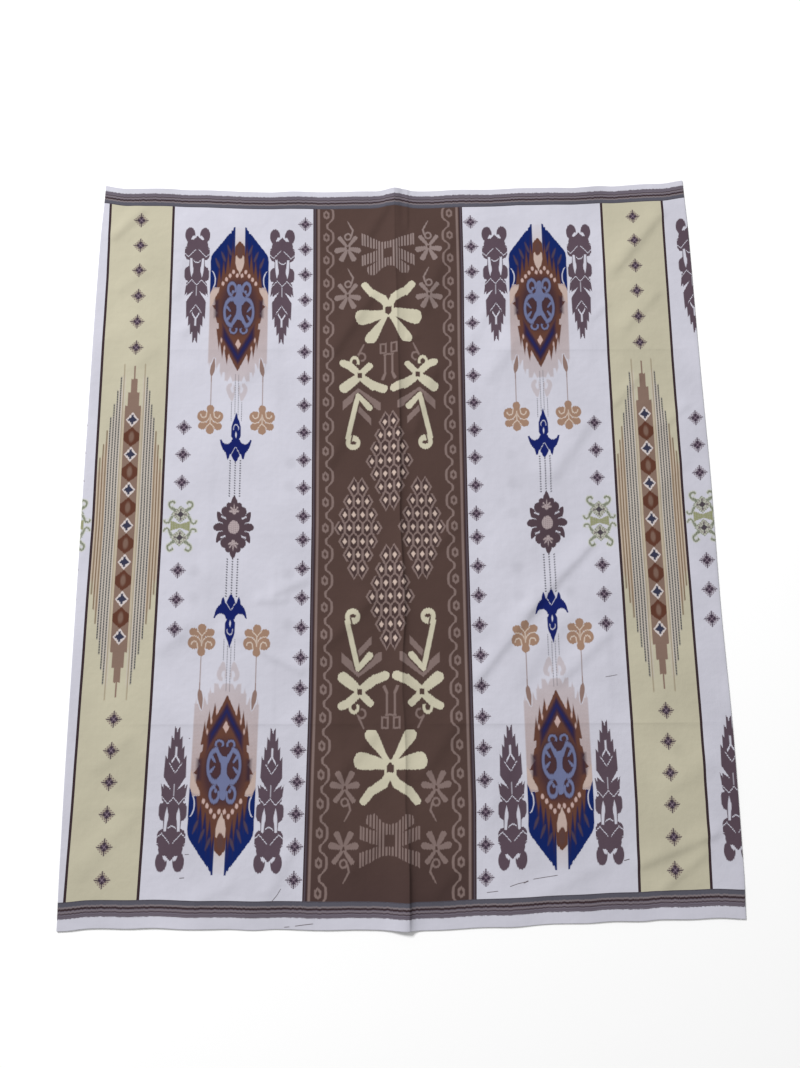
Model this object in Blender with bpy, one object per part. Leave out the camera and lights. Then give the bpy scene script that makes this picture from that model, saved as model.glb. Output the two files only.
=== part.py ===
"""Batik sarong: one woven length, folded at both sides and joined by one seam into a tube, laid flat.

Frame: origin under the middle of the bounding box, +X to the right of the front, +Y to its top edge, +Z up.
All sizes are in metres.  The back lies on the surface at z = 0 and the front lies on the back.
"""
import math
from collections import namedtuple

import bpy
import numpy as np
from mathutils import Vector

# --- driving sizes ---------------------------------------------------------------------------------
WALL = 0.001                 # modelled thickness of one layer of cloth
GAP = 0.0003                 # clearance between pieces that touch
ROUND = 0.0007               # radius of the outer face where the cloth turns over a side fold
ROUND_STEPS = 3              # facets of that rounding
SEAM_WIDTH = 0.010           # felled allowance inside the tube
SEAM_END = 0.0015            # how far the felled strip stops short of the selvedges
BACK_SHORT = 0.0015          # how far the back lies inside the front at the open ends
FOLD_REST = 0.022            # from a side fold inwards, where the front comes to rest on the back

ROW_STEP = 0.027             # largest distance between two sections of the front
COLUMN_STEP = 0.027          # largest distance between two columns of the front
BACK_ROW_STEP = 0.064
BACK_COLUMN_STEP = 0.060

FRONT_Z = WALL + GAP         # underside of the front where it lies on the back
SEAM_Z = WALL + GAP          # underside of the felled strip

# Side folds: the outline seen from above, where the tube turns from front to back.
Fold = namedtuple("Fold", "y left right")
FOLDS = (
    Fold(-0.633, -0.5265, 0.5265),
    Fold(-0.560, -0.5280, 0.5290),
    Fold(-0.360, -0.5298, 0.5305),
    Fold(-0.130, -0.5300, 0.5272),
    Fold(0.060, -0.5305, 0.5282),
    Fold(0.300, -0.5305, 0.5258),
    Fold(0.520, -0.5290, 0.5248),
    Fold(0.633, -0.5252, 0.5220),
)

# Open ends: the two selvedges, each as it lies across the width.
End = namedtuple("End", "x bottom top")
ENDS = (
    End(-0.5300, -0.6300, 0.6327),
    End(-0.4800, -0.6262, 0.6257),
    End(-0.4000, -0.6262, 0.6237),
    End(-0.2800, -0.6285, 0.6177),
    End(-0.1400, -0.6302, 0.6150),
    End(-0.0350, -0.6318, 0.6146),
    End(0.0050, -0.6327, 0.6190),
    End(0.0450, -0.6318, 0.6150),
    End(0.1600, -0.6285, 0.6155),
    End(0.2800, -0.6248, 0.6165),
    End(0.4000, -0.6225, 0.6193),
    End(0.4800, -0.6208, 0.6228),
    End(0.5300, -0.6225, 0.6290),
)

# Ridges of the front: each runs straight from one point to the other and fades at both ends.
Ridge = namedtuple("Ridge", "x0 y0 x1 y1 half_width height")
PRESSED_FOLD = Ridge(0.002, 0.640, 0.008, -0.640, 0.011, 0.0040)
FOLD_FLARE = 0.0025          # extra height of the pressed fold at both selvedges
FLARE_LENGTH = 0.090
RIDGES = (
    Ridge(0.118, -0.238, 0.372, -0.006, 0.016, 0.0038),
    Ridge(0.255, 0.010, 0.376, 0.200, 0.015, 0.0028),
    Ridge(-0.335, -0.105, -0.150, -0.250, 0.014, 0.0028),
    Ridge(-0.262, -0.124, -0.092, -0.064, 0.014, 0.0024),
    Ridge(-0.092, 0.300, -0.016, 0.424, 0.015, 0.0024),
    Ridge(0.022, 0.086, 0.066, 0.272, 0.015, 0.0026),
    Ridge(0.116, 0.235, 0.214, 0.400, 0.014, 0.0024),
    Ridge(0.300, 0.470, 0.500, 0.575, 0.020, 0.0026),
    Ridge(-0.512, 0.470, -0.410, 0.585, 0.016, 0.0022),
    Ridge(-0.396, -0.320, 0.366, -0.320, 0.012, 0.0014),
    Ridge(0.384, -0.420, 0.505, -0.330, 0.016, 0.0022),
)
RIDGE_FADE = 0.18            # part of a ridge's length over which each of its ends fades

COLOURS = {                  # name: linear base colour
    "front_layer": (0.45, 0.43, 0.48),
    "back_layer_left": (0.42, 0.41, 0.46),
    "back_layer_right": (0.42, 0.41, 0.46),
    "joining_seam": (0.50, 0.49, 0.53),
}
ROUGHNESS = 0.82


# --- forms -----------------------------------------------------------------------------------------
def curve_through(rows, key, value):
    """A smooth function through the rows of a table, with level ends (cubic Hermite)."""
    xs = [getattr(row, key) for row in rows]
    ys = [getattr(row, value) for row in rows]
    last = len(xs) - 1
    slopes = [0.0] * len(xs)
    for i in range(1, last):
        before = (ys[i] - ys[i - 1]) / (xs[i] - xs[i - 1])
        after = (ys[i + 1] - ys[i]) / (xs[i + 1] - xs[i])
        slopes[i] = 0.0 if before * after <= 0.0 else 2.0 * before * after / (before + after)

    def at(x):
        x = min(max(x, xs[0]), xs[last])
        i = min(int(np.searchsorted(xs, x, side="right")) - 1, last - 1)
        step = xs[i + 1] - xs[i]
        t = (x - xs[i]) / step
        return (ys[i] * (1.0 + 2.0 * t) * (1.0 - t) ** 2
                + ys[i + 1] * (3.0 - 2.0 * t) * t ** 2
                + slopes[i] * step * t * (1.0 - t) ** 2
                - slopes[i + 1] * step * t ** 2 * (1.0 - t))

    return at


fold_left = curve_through(FOLDS, "y", "left")
fold_right = curve_through(FOLDS, "y", "right")
end_bottom = curve_through(ENDS, "x", "bottom")
end_top = curve_through(ENDS, "x", "top")


def smoothstep(t):
    t = min(max(t, 0.0), 1.0)
    return t * t * (3.0 - 2.0 * t)


def ridge_lift(ridge, x, y):
    """Height of one ridge above a point: a soft hump across it, fading at its ends."""
    run_x = ridge.x1 - ridge.x0
    run_y = ridge.y1 - ridge.y0
    length = math.hypot(run_x, run_y)
    along = ((x - ridge.x0) * run_x + (y - ridge.y0) * run_y) / length ** 2
    across = ((x - ridge.x0) * run_y - (y - ridge.y0) * run_x) / length
    fade = smoothstep(along / RIDGE_FADE) * smoothstep((1.0 - along) / RIDGE_FADE)
    return ridge.height * fade * math.exp(-(across / ridge.half_width) ** 2)


def pressed_fold_x(y):
    """Where the pressed fold, and the joining seam under it, cross the row at y."""
    fold = PRESSED_FOLD
    return fold.x0 + (fold.x1 - fold.x0) * (fold.y0 - y) / (fold.y0 - fold.y1)


def pressed_fold_lift(x, y):
    """The fold down the middle of the front, which stands highest at the two selvedges."""
    top_flare = math.exp(-((end_top(x) - y) / FLARE_LENGTH) ** 2)
    bottom_flare = math.exp(-((y - end_bottom(x)) / FLARE_LENGTH) ** 2)
    height = PRESSED_FOLD.height + FOLD_FLARE * (top_flare + bottom_flare)
    return height * math.exp(-((x - pressed_fold_x(y)) / PRESSED_FOLD.half_width) ** 2)


def front_lift(x, y):
    """Height of the front's underside above the plane where it lies on the back."""
    near_fold = min(x - fold_left(y), fold_right(y) - x)
    settle = smoothstep(near_fold / FOLD_REST)
    lift = pressed_fold_lift(x, y)
    lift += sum(ridge_lift(ridge, x, y) for ridge in RIDGES)
    return settle * lift


def spread(start, stop, step, extra=()):
    """Evenly spaced places from start to stop, with the extra places put in and close ones dropped."""
    count = math.ceil((stop - start) / step)
    even = [start + (stop - start) * i / count for i in range(count + 1)]
    kept = [e for e in extra if start < e < stop]
    clear = step * 0.22
    inner = [p for p in even[1:-1] if all(abs(p - e) > clear for e in kept)]
    return [start] + sorted(inner + kept) + [stop]


def place(across, along, inset=0.0):
    """The point at a share across the width and a share along the length, inside the outline."""
    y = (along - 0.5) * 2.0 * ENDS[0].top
    for _ in range(3):
        x = fold_left(y) + across * (fold_right(y) - fold_left(y))
        bottom = end_bottom(x) + inset
        y = bottom + along * (end_top(x) - inset - bottom)
    return x, y


# --- solids ----------------------------------------------------------------------------------------
def rounded_side(side):
    """Inward distance and drop of the outer face at a side fold, from the edge inwards."""
    rows = []
    for i in range(ROUND_STEPS + 1):
        angle = math.pi / 2.0 * i / ROUND_STEPS
        rows.append((side * ROUND * (1.0 - math.cos(angle)), ROUND * (1.0 - math.sin(angle))))
    return rows


def slab_object(name, lower, upper, material):
    """A closed solid between two grids of points with the same rows and columns."""
    rows = len(lower)
    columns = len(lower[0])
    points = [p for grid in (lower, upper) for row in grid for p in row]
    top = rows * columns

    def corner(row, column):
        return row * columns + column

    faces = []
    for r in range(rows - 1):
        for c in range(columns - 1):
            quad = (corner(r, c), corner(r, c + 1), corner(r + 1, c + 1), corner(r + 1, c))
            faces.append(tuple(reversed(quad)))
            faces.append(tuple(top + v for v in quad))
    rim = [corner(0, c) for c in range(columns)]
    rim += [corner(r, columns - 1) for r in range(1, rows)]
    rim += [corner(rows - 1, c) for c in range(columns - 2, -1, -1)]
    rim += [corner(r, 0) for r in range(rows - 2, 0, -1)]
    for here, after in zip(rim, rim[1:] + rim[:1]):
        faces.append((here, after, top + after, top + here))

    mesh = bpy.data.meshes.new(name)
    mesh.from_pydata([Vector(p) for p in points], [], faces)
    mesh.update()
    mesh.shade_smooth()
    mesh.set_sharp_from_angle(angle=math.radians(40.0))
    mesh.materials.append(material)
    piece = bpy.data.objects.new(name, mesh)
    bpy.context.scene.collection.objects.link(piece)
    return piece


def cloth_material(name):
    material = bpy.data.materials.new(name + "_cloth")
    material.use_nodes = True
    shader = material.node_tree.nodes["Principled BSDF"]
    shader.inputs["Base Color"].default_value = (*COLOURS[name], 1.0)
    shader.inputs["Roughness"].default_value = ROUGHNESS
    shader.inputs["Metallic"].default_value = 0.0
    return material


def front_layer():
    """The front, from fold to fold: its outer face turns down at both sides to meet the back."""
    width = fold_right(0.0) - fold_left(0.0)
    middle = (pressed_fold_x(0.0) - fold_left(0.0)) / width
    offsets = [k * PRESSED_FOLD.half_width / width for k in (-2.6, -1.5, -0.8, 0.0, 0.8, 1.5, 2.6)]
    across = spread(0.0, 1.0, COLUMN_STEP / width, [middle + d for d in offsets])
    length = end_top(0.0) - end_bottom(0.0)
    along = spread(0.0, 1.0, ROW_STEP / length)
    lower = []
    upper = []
    for share in along:
        row = [place(a, share) for a in across[1:-1]]
        left_x, left_y = place(0.0, share)
        right_x, right_y = place(1.0, share)
        bottom_row = [(left_x + d, left_y, FRONT_Z) for d, _ in rounded_side(1.0)]
        top_row = [(left_x + d, left_y, FRONT_Z + WALL - drop) for d, drop in rounded_side(1.0)]
        for x, y in row:
            z = FRONT_Z + front_lift(x, y)
            bottom_row.append((x, y, z))
            top_row.append((x, y, z + WALL))
        for d, drop in reversed(rounded_side(-1.0)):
            bottom_row.append((right_x + d, right_y, FRONT_Z))
            top_row.append((right_x + d, right_y, FRONT_Z + WALL - drop))
        lower.append(bottom_row)
        upper.append(top_row)
    return slab_object("front_layer", lower, upper, cloth_material("front_layer"))


def back_layer(name, side):
    """One side of the back, from its side fold to the joining seam, flat on the surface."""
    half = fold_right(0.0) - pressed_fold_x(0.0)
    across = spread(0.0, 1.0, BACK_COLUMN_STEP / half)
    along = spread(0.0, 1.0, BACK_ROW_STEP / (end_top(0.0) - end_bottom(0.0)))
    lower = []
    upper = []
    for share in along:
        fold_x, fold_y = place(0.0 if side < 0 else 1.0, share, BACK_SHORT)
        rounding = [(fold_x + d, drop) for d, drop in rounded_side(-side)]
        inner_x = rounding[-1][0]
        seam_x = pressed_fold_x(fold_y) + side * GAP / 2.0
        bottom_row = [(x, fold_y, drop) for x, drop in rounding]
        top_row = [(x, fold_y, WALL) for x, _ in rounding]
        for a in across[1:]:
            x = inner_x + a * (seam_x - inner_x)
            bottom = end_bottom(x) + BACK_SHORT
            y = bottom + share * (end_top(x) - BACK_SHORT - bottom)
            bottom_row.append((x, y, 0.0))
            top_row.append((x, y, WALL))
        if side > 0:
            bottom_row.reverse()
            top_row.reverse()
        lower.append(bottom_row)
        upper.append(top_row)
    return slab_object(name, lower, upper, cloth_material(name))


def joining_seam():
    """The felled allowance of the one seam, a flat strip inside the tube on the back."""
    along = spread(0.0, 1.0, BACK_ROW_STEP / (end_top(0.0) - end_bottom(0.0)))
    bottom = end_bottom(pressed_fold_x(-0.6)) + BACK_SHORT + SEAM_END
    top = end_top(pressed_fold_x(0.6)) - BACK_SHORT - SEAM_END
    lower = []
    upper = []
    for share in along:
        y = bottom + share * (top - bottom)
        x = pressed_fold_x(y)
        edges = (x - SEAM_WIDTH / 2.0, x, x + SEAM_WIDTH / 2.0)
        lower.append([(edge, y, SEAM_Z) for edge in edges])
        upper.append([(edge, y, SEAM_Z + WALL) for edge in edges])
    return slab_object("joining_seam", lower, upper, cloth_material("joining_seam"))


def main():
    for old in list(bpy.data.objects):
        bpy.data.objects.remove(old, do_unlink=True)
    sarong = bpy.data.objects.new("sarong", None)
    bpy.context.scene.collection.objects.link(sarong)
    pieces = [
        front_layer(),
        back_layer("back_layer_left", -1),
        back_layer("back_layer_right", 1),
        joining_seam(),
    ]
    for piece in pieces:
        piece.parent = sarong


main()
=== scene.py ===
"""Looks of the batik sarong: patterned cotton sewn into a tube and laid flat.

Sizes are in metres, except where a comment says millimetres, as it does for the whole pattern, and in
the rows of in_metres, which are in millimetres too.  On the cloth itself u runs across from the middle
of the brown centre panel, and v runs along from mid-length.
"""
import math
from collections import namedtuple
from functools import reduce
from operator import mul, or_

import bpy
import numpy as np
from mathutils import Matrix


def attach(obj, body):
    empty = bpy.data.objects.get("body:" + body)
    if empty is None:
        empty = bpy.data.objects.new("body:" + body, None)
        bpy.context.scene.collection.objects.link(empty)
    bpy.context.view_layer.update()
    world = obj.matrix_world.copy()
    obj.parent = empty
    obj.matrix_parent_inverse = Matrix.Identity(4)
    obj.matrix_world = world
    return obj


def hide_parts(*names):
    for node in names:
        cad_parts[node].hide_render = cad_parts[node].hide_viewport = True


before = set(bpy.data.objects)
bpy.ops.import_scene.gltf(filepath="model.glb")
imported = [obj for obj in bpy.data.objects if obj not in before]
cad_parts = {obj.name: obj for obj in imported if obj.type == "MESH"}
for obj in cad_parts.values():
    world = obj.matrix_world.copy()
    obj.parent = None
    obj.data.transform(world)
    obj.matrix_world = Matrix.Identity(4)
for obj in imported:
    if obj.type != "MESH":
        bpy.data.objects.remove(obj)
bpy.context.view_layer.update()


def table(kind, *rows):
    """Rows of numbers as named tuples of one kind."""
    return tuple(kind(*row) for row in rows)


def in_metres(kind, *rows):
    """The same, for rows in millimetres."""
    return table(kind, *([value / 1000.0 for value in row] for row in rows))


# --- the cloth's form: the same sizes as its solids ------------------------------------------------
WALL = 0.001
GAP = 0.0003
FRONT_TOP = 2.0 * WALL + GAP     # upper face of the front where it lies on the back
BACK_UNDER = 0.0002              # the back's outer face, just clear of the floor
TURN = (FRONT_TOP - BACK_UNDER) / 2.0     # radius where the cloth turns over a side fold
BACK_SHORT = 0.0015              # how far the back lies inside the front at the open ends
FOLD_REST = 0.022                # from a side fold inwards, where the front comes to rest
CLOTH = 0.0004                   # thickness that shows at the open ends
LIP = 0.006                      # how far the edge's underside runs back

# Side folds: the outline seen from above, where the tube turns from front to back.
Fold = namedtuple("Fold", "y left right")
FOLDS = in_metres(Fold,
    (-633, -526.5, 526.5), (-560, -528, 529), (-360, -529.8, 530.5), (-130, -530, 527.2),
    (60, -530.5, 528.2), (300, -530.5, 525.8), (520, -529, 524.8), (633, -525.2, 522))

# Open ends: the two selvedges, each as it lies across the width.
End = namedtuple("End", "x bottom top")
ENDS = in_metres(End,
    (-530, -630, 632.7), (-480, -626.2, 625.7), (-400, -626.2, 623.7), (-280, -628.5, 617.7),
    (-140, -630.2, 615), (-35, -631.8, 614.6), (5, -632.7, 619), (45, -631.8, 615), (160, -628.5, 615.5),
    (280, -624.8, 616.5), (400, -622.5, 619.3), (480, -620.8, 622.8), (530, -622.5, 629))

# Small ripples of both ends, which die out within RIPPLE_REACH of them.
Ripple = namedtuple("Ripple", "x bottom top")
RIPPLES = in_metres(Ripple,
    (-530, 0, 0), (-505, -0.8, -1.2), (-462, 0.6, 0.6), (-418, -0.4, 1), (-377, 0.8, -0.7),
    (-331, -0.8, 0.8), (-268, 0.5, -0.6), (-226, -0.9, -1.3), (-186, 0.7, 1.2), (-122, -0.6, -0.5),
    (-60, 0.8, 0.7), (60, -0.7, -0.9), (118, 0.6, 0.8), (176, -0.8, -0.6), (229, 1, 0.9),
    (284, -0.5, 0.4), (324, 0.9, -1.1), (371, -0.6, 1), (396, 0.8, -1), (448, -0.9, 0.8),
    (492, 0.6, -0.9), (530, 0, 0))
RIPPLE_REACH = 0.080

# Creases of the front: each runs from one point to the other, fades at both ends and has its own half
# width on its left and on its right as it runs.  A ridge is rounded; a fold line is the sharp one that is
# left by folding the cloth away.
Crease = namedtuple("Crease", "x0 y0 x1 y1 left right height")
PRESSED_FOLD = Crease(0.002, 0.640, 0.008, -0.640, 0.022, 0.013, 0.0028)
FOLD_FLARE = 0.0025              # extra height of the pressed fold at both ends
FLARE_LENGTH = 0.090
# The sharp line that the pressed fold leaves beside its crest: where it runs, and its height there.
Mark = namedtuple("Mark", "y x height")
FOLD_MARK = in_metres(Mark,
    (-640, 14.2, 1.4), (-606, 14.5, 4), (-570, 14.6, 4.5), (-518, 14.2, 3.9), (-444, 9, 2.3),
    (-383, 10.4, 2.5), (-321, 8.7, 2.4), (-274, 6, 2.5), (-211, 7.5, 3.4), (-150, 11.3, 4.2),
    (-46, 7.4, 4.3), (22, 4.7, 4.3), (91, 6.1, 4.6), (179, 6, 4.2), (288, 4.5, 2.4), (400, 2.8, 2),
    (516, 0.2, 1.6), (640, 0, 0.9))
MARK_SIDES = (0.0110, 0.0025)    # its half widths on the left and on the right
RIDGES = in_metres(Crease,
    (106, -282, 236, -126, 22, 6.9, 2.6), (196, -166, 338, -18, 24, 7.4, 2.81),
    (238, -276, 350, -176, 20, 9.2, 1.77), (160, -290, 296, -130, 26, 20.2, 1.66),
    (248, 62, 340, 192, 24, 12, 2.18), (146, 244, 222, 342, 22, 12.9, 1.77),
    (112, 300, 184, 420, 18, 12, 1.25), (372, 436, 492, 582, 20, 8.7, 2.6),
    (384, 330, 470, 420, 18, 8.3, 1.56), (366, 196, 426, 262, 12, 5.5, 1.25),
    (444, 158, 506, 210, 14, 6.4, 1.04), (336, 356, 380, 398, 10, 5.5, 0.94),
    (352, -548, 512, -486, 16, 6.9, 2.39), (386, -588, 486, -512, 14, 7.4, 1.66),
    (400, -440, 500, -380, 22, 14.7, 1.46), (392, 10, 500, 120, 22, 14.7, 1.25),
    (180, -600, 330, -530, 18, 11, 1.25), (130, -480, 180, -380, 18, 12, 1.14),
    (-236, -202, -146, -248, 14, 5.5, 1.98), (-300, -168, -206, -204, 14, 8.3, 1.14),
    (-238, -126, -176, -126, 12, 5.5, 1.56), (-212, -118, -142, -90, 14, 6.4, 1.66),
    (-396, -216, -330, -150, 20, 12.9, 1.46), (-300, 230, -216, 300, 20, 12.9, 1.25),
    (-382, 340, -350, 362, 12, 6.4, 1.14), (-392, 404, -376, 500, 16, 9.2, 1.25),
    (-514, 520, -448, 590, 16, 7.4, 2.08), (-500, 420, -436, 470, 18, 11, 1.25),
    (-470, 270, -412, 330, 18, 12.9, 1.04), (-490, -400, -420, -330, 20, 12.9, 1.35),
    (-510, -560, -400, -440, 22, 13.8, 1.46), (-330, -596, -250, -560, 14, 8.3, 1.14),
    (-210, -590, -160, -500, 14, 8.3, 1.25), (-120, 290, -30, 430, 20, 10.1, 3.08),
    (-130, 80, -50, 230, 20, 12, 2.47), (-128, -210, -30, -110, 20, 11, 2.42),
    (-110, -420, -30, -330, 16, 10.1, 1.87), (-90, -560, -10, -470, 18, 12, 1.87),
    (22, 140, 72, 290, 20, 10.1, 2.64), (40, 360, 104, 540, 20, 11, 2.53),
    (-60, 505, -6, 600, 18, 8.3, 2.42), (21.5, 530, 23.5, 640, 7, 3.2, 1.2),
    (16, 330, 44, 334, 8, 4.1, 1.04), (24, -90, 112, 20, 16, 11, 1.77),
    (22, -420, 104, -310, 16, 11, 1.98), (36, -600, 110, -520, 16, 11, 1.56))
FOLD_LINES = in_metres(Crease,
    (-470, -322.6, 60, -326.2, 16, 3.7, 0.68), (10, -326.2, 545, -327.8, 18, 3.5, 0.84),
    (-420, 314, -150, 311, 18, 4.8, 0.49), (120, 306, 530, 304.4, 18, 4.5, 0.57),
    (-300, -16, -60, -15, 14, 4.5, 0.34), (90, -14, 330, -12, 14, 4.5, 0.38),
    (-500, -450, -300, -448, 16, 4.8, 0.57), (-204, 100, -205, 620, 16, 4.8, 0.42),
    (-201, -360, -204, -40, 16, 4.3, 0.61), (-314, -220, -315, 200, 16, 4.8, 0.42),
    (225, -170, 226, 20, 16, 4.5, 0.46), (224, 540, 225, 620, 14, 4.8, 0.46),
    (336, -340, 342, -160, 16, 4, 0.68), (337, 240, 336, 620, 16, 4.5, 0.49),
    (-92, -460, -94, -160, 14, 4.5, 0.57))
# Creases that lift the back's layer from the floor, inside the tube.
BACK_CREASES = in_metres(Crease,
    (-420, -317, 400, -318, 16, 12, 0.5), (-380, 311, 460, 313, 16, 13, 0.4),
    (-262, 580, -266, -600, 13, 14, 0.5), (270, 600, 264, -590, 14, 12, 0.5),
    (-440, -200, -230, -60, 17, 12, 0.6), (-180, 120, -40, 330, 15, 12, 0.5),
    (80, -480, 250, -370, 18, 13, 0.6), (310, 40, 460, 230, 14, 16, 0.5),
    (120, 420, 340, 540, 16, 12, 0.5))
RIDGE_FADE = 0.18                # part of a crease's length over which each of its ends fades
SWELLS = 26                      # broad waves that keep the cloth from lying dead flat
SWELL_LENGTHS = (0.045, 0.260)   # the shortest and the longest of them
SWELL_MIDDLE = 0.15              # the length that has the named height: longer waves are higher
SWELL_HEIGHT = 0.00042
SWELL_SEED = 11

# --- the cloth's own measures ----------------------------------------------------------------------
CENTRE_X = -0.01325              # where u = 0 lies on the front
V_TOP = 0.6205
V_BOTTOM = -0.6270
SEAM_U = (-1.044, 1.058)         # the cloth's two joined edges

# How far the cloth, as it lies, is drawn across and along from its even place, in millimetres: at each
# place across the width, in rows from the top to the bottom.
DRIFT_U = (-0.500, -0.440, -0.260, -0.135, 0.000, 0.135, 0.260, 0.440, 0.500)
Drift = namedtuple("Drift", "y across along")
DRIFTS = (
    Drift(0.62, (-5.1, -4.9, -2.9, -2.0, 0.4, 3.3, 5.6, 2.5, -1.3),
          (1.0, 1.1, 0.7, -0.1, -1.0, 0.1, 1.1, 0.4, 0.1)),
    Drift(0.45, (-2.2, -2.7, -0.4, -0.4, 1.1, 3.6, 5.4, 0.3, -2.5),
          (-0.2, -0.4, -0.1, -0.7, -1.2, 0.3, 0.8, 1.0, 0.4)),
    Drift(0.30, (-2.8, -0.8, 0.4, 0.3, 0.9, 1.2, 2.5, -1.0, -3.2),
          (-1.2, -1.2, -0.9, -1.0, -0.6, 0.4, 0.3, 0.3, 0.2)),
    Drift(0.00, (-0.7, -0.6, 2.4, 1.9, 1.5, 0.0, 1.5, -1.1, -3.6),
          (-1.2, -1.0, -1.0, -1.8, -1.5, -0.6, 0.6, 1.6, 2.1)),
    Drift(-0.30, (-3.6, -3.8, 0.3, 0.3, 0.8, 0.9, 3.2, 0.8, -2.3),
          (-0.4, -0.4, -0.6, -1.4, -2.1, -1.1, 1.6, 3.7, 4.2)),
    Drift(-0.45, (-5.1, -6.5, -3.0, -3.1, -1.6, 1.9, 4.8, 0.3, -2.6),
          (-0.6, -0.6, -0.5, -0.7, -1.5, -0.6, 1.5, 4.4, 4.7)),
    Drift(-0.62, (-8.2, -9.8, -7.6, -6.5, -4.6, -2.0, -0.7, -4.4, -6.7),
          (-0.7, -1.0, -1.2, -0.6, -0.1, 0.1, 1.4, 5.6, 5.7)),
)


def curve_through(rows, key, value):
    """A smooth function through the rows of a table, with level ends (cubic Hermite)."""
    xs = np.array([getattr(row, key) for row in rows])
    ys = np.array([getattr(row, value) for row in rows])
    steps = np.diff(xs)
    before = (np.diff(ys) / steps)[:-1]
    after = (np.diff(ys) / steps)[1:]
    slopes = np.zeros(len(xs))
    agree = before * after > 0.0
    slopes[1:-1][agree] = 2.0 * (before * after)[agree] / (before + after)[agree]

    def at(x):
        x = np.clip(x, xs[0], xs[-1])
        i = np.clip(np.searchsorted(xs, x, side="right") - 1, 0, len(steps) - 1)
        t = (x - xs[i]) / steps[i]
        return (ys[i] * (1.0 + 2.0 * t) * (1.0 - t) ** 2
                + ys[i + 1] * (3.0 - 2.0 * t) * t ** 2
                + slopes[i] * steps[i] * t * (1.0 - t) ** 2
                - slopes[i + 1] * steps[i] * t ** 2 * (1.0 - t))

    return at


fold_left = curve_through(FOLDS, "y", "left")
fold_right = curve_through(FOLDS, "y", "right")
end_bottom = curve_through(ENDS, "x", "bottom")
end_top = curve_through(ENDS, "x", "top")
ripple_bottom = curve_through(RIPPLES, "x", "bottom")
ripple_top = curve_through(RIPPLES, "x", "top")
mark_place = curve_through(FOLD_MARK, "y", "x")
mark_height = curve_through(FOLD_MARK, "y", "height")


def smoothstep(t):
    """From 0 to 1 with level ends."""
    t = np.clip(t, 0.0, 1.0)
    return t * t * (3.0 - 2.0 * t)


def crease_lift(crease, x, y, power=2.0):
    """Height that one crease gives each point."""
    run_x = crease.x1 - crease.x0
    run_y = crease.y1 - crease.y0
    length = math.hypot(run_x, run_y)
    along = ((x - crease.x0) * run_x + (y - crease.y0) * run_y) / length ** 2
    across = ((x - crease.x0) * run_y - (y - crease.y0) * run_x) / length
    fade = smoothstep(along / RIDGE_FADE) * smoothstep((1.0 - along) / RIDGE_FADE)
    half_width = np.where(across < 0.0, crease.left, crease.right)
    return crease.height * fade * np.exp(-np.abs(across / half_width) ** power)


def seam_x(y):
    """Where the pressed fold's crest, and the joining seam under it, cross the row at y."""
    fold = PRESSED_FOLD
    return fold.x0 + (fold.x1 - fold.x0) * (fold.y0 - y) / (fold.y0 - fold.y1)


def pressed_fold_lift(x, y):
    """The fold down the middle of the front, highest at both open ends, and the sharp line beside it."""
    top_flare = np.exp(-((end_top(x) - y) / FLARE_LENGTH) ** 2)
    bottom_flare = np.exp(-((y - end_bottom(x)) / FLARE_LENGTH) ** 2)
    height = PRESSED_FOLD.height + FOLD_FLARE * (top_flare + bottom_flare)
    across = x - seam_x(y)
    half_width = np.where(across < 0.0, PRESSED_FOLD.left, PRESSED_FOLD.right)
    crest = height * np.exp(-(across / half_width) ** 2)
    beside = x - mark_place(y)
    return crest + mark_height(y) * np.exp(-np.abs(beside) / np.where(beside < 0.0, *MARK_SIDES))


def swell(x, y):
    """Low, broad, uneven waves."""
    chance = np.random.default_rng(SWELL_SEED)
    total = np.zeros(np.shape(x))
    for _ in range(SWELLS):
        wave = chance.uniform(*SWELL_LENGTHS)
        bearing = chance.uniform(0.0, math.pi)
        phase = chance.uniform(0.0, 2.0 * math.pi)
        run = x * math.cos(bearing) + y * math.sin(bearing)
        total += wave / SWELL_MIDDLE * np.sin(2.0 * math.pi * run / wave + phase)
    return SWELL_HEIGHT * total / math.sqrt(SWELLS)


def front_lift(x, y):
    """Height of the front above the plane where it lies on the back."""
    near_fold = np.minimum(x - fold_left(y), fold_right(y) - x)
    lift = pressed_fold_lift(x, y)
    lift = lift + sum(crease_lift(crease, x, y) for crease in RIDGES)
    lift = lift + sum(crease_lift(crease, x, y, power=1.0) for crease in FOLD_LINES)
    return smoothstep(near_fold / FOLD_REST) * (lift + swell(x, y))


def back_lift(x, y):
    """Height of the back's outer face above the floor."""
    near_fold = np.minimum(x - fold_left(y), fold_right(y) - x)
    near_seam = np.abs(x - seam_x(y))
    lift = sum(crease_lift(crease, x, y) for crease in BACK_CREASES)
    return smoothstep(near_fold / FOLD_REST) * smoothstep(near_seam / FOLD_REST) * lift


def drift(u, y, key):
    """How far the cloth at (u, y) lies from its even place, in metres, read off the table of drifts."""
    at_rows = np.array([np.interp(u, DRIFT_U, getattr(row, key)) for row in reversed(DRIFTS)]) / 1000.0
    place = np.interp(y, [row.y for row in reversed(DRIFTS)], np.arange(len(DRIFTS)))
    low = np.minimum(place.astype(int), len(DRIFTS) - 2)
    share = place - low
    below = np.take_along_axis(at_rows, low[None], axis=0)[0]
    above = np.take_along_axis(at_rows, low[None] + 1, axis=0)[0]
    return below + (above - below) * share


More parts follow.
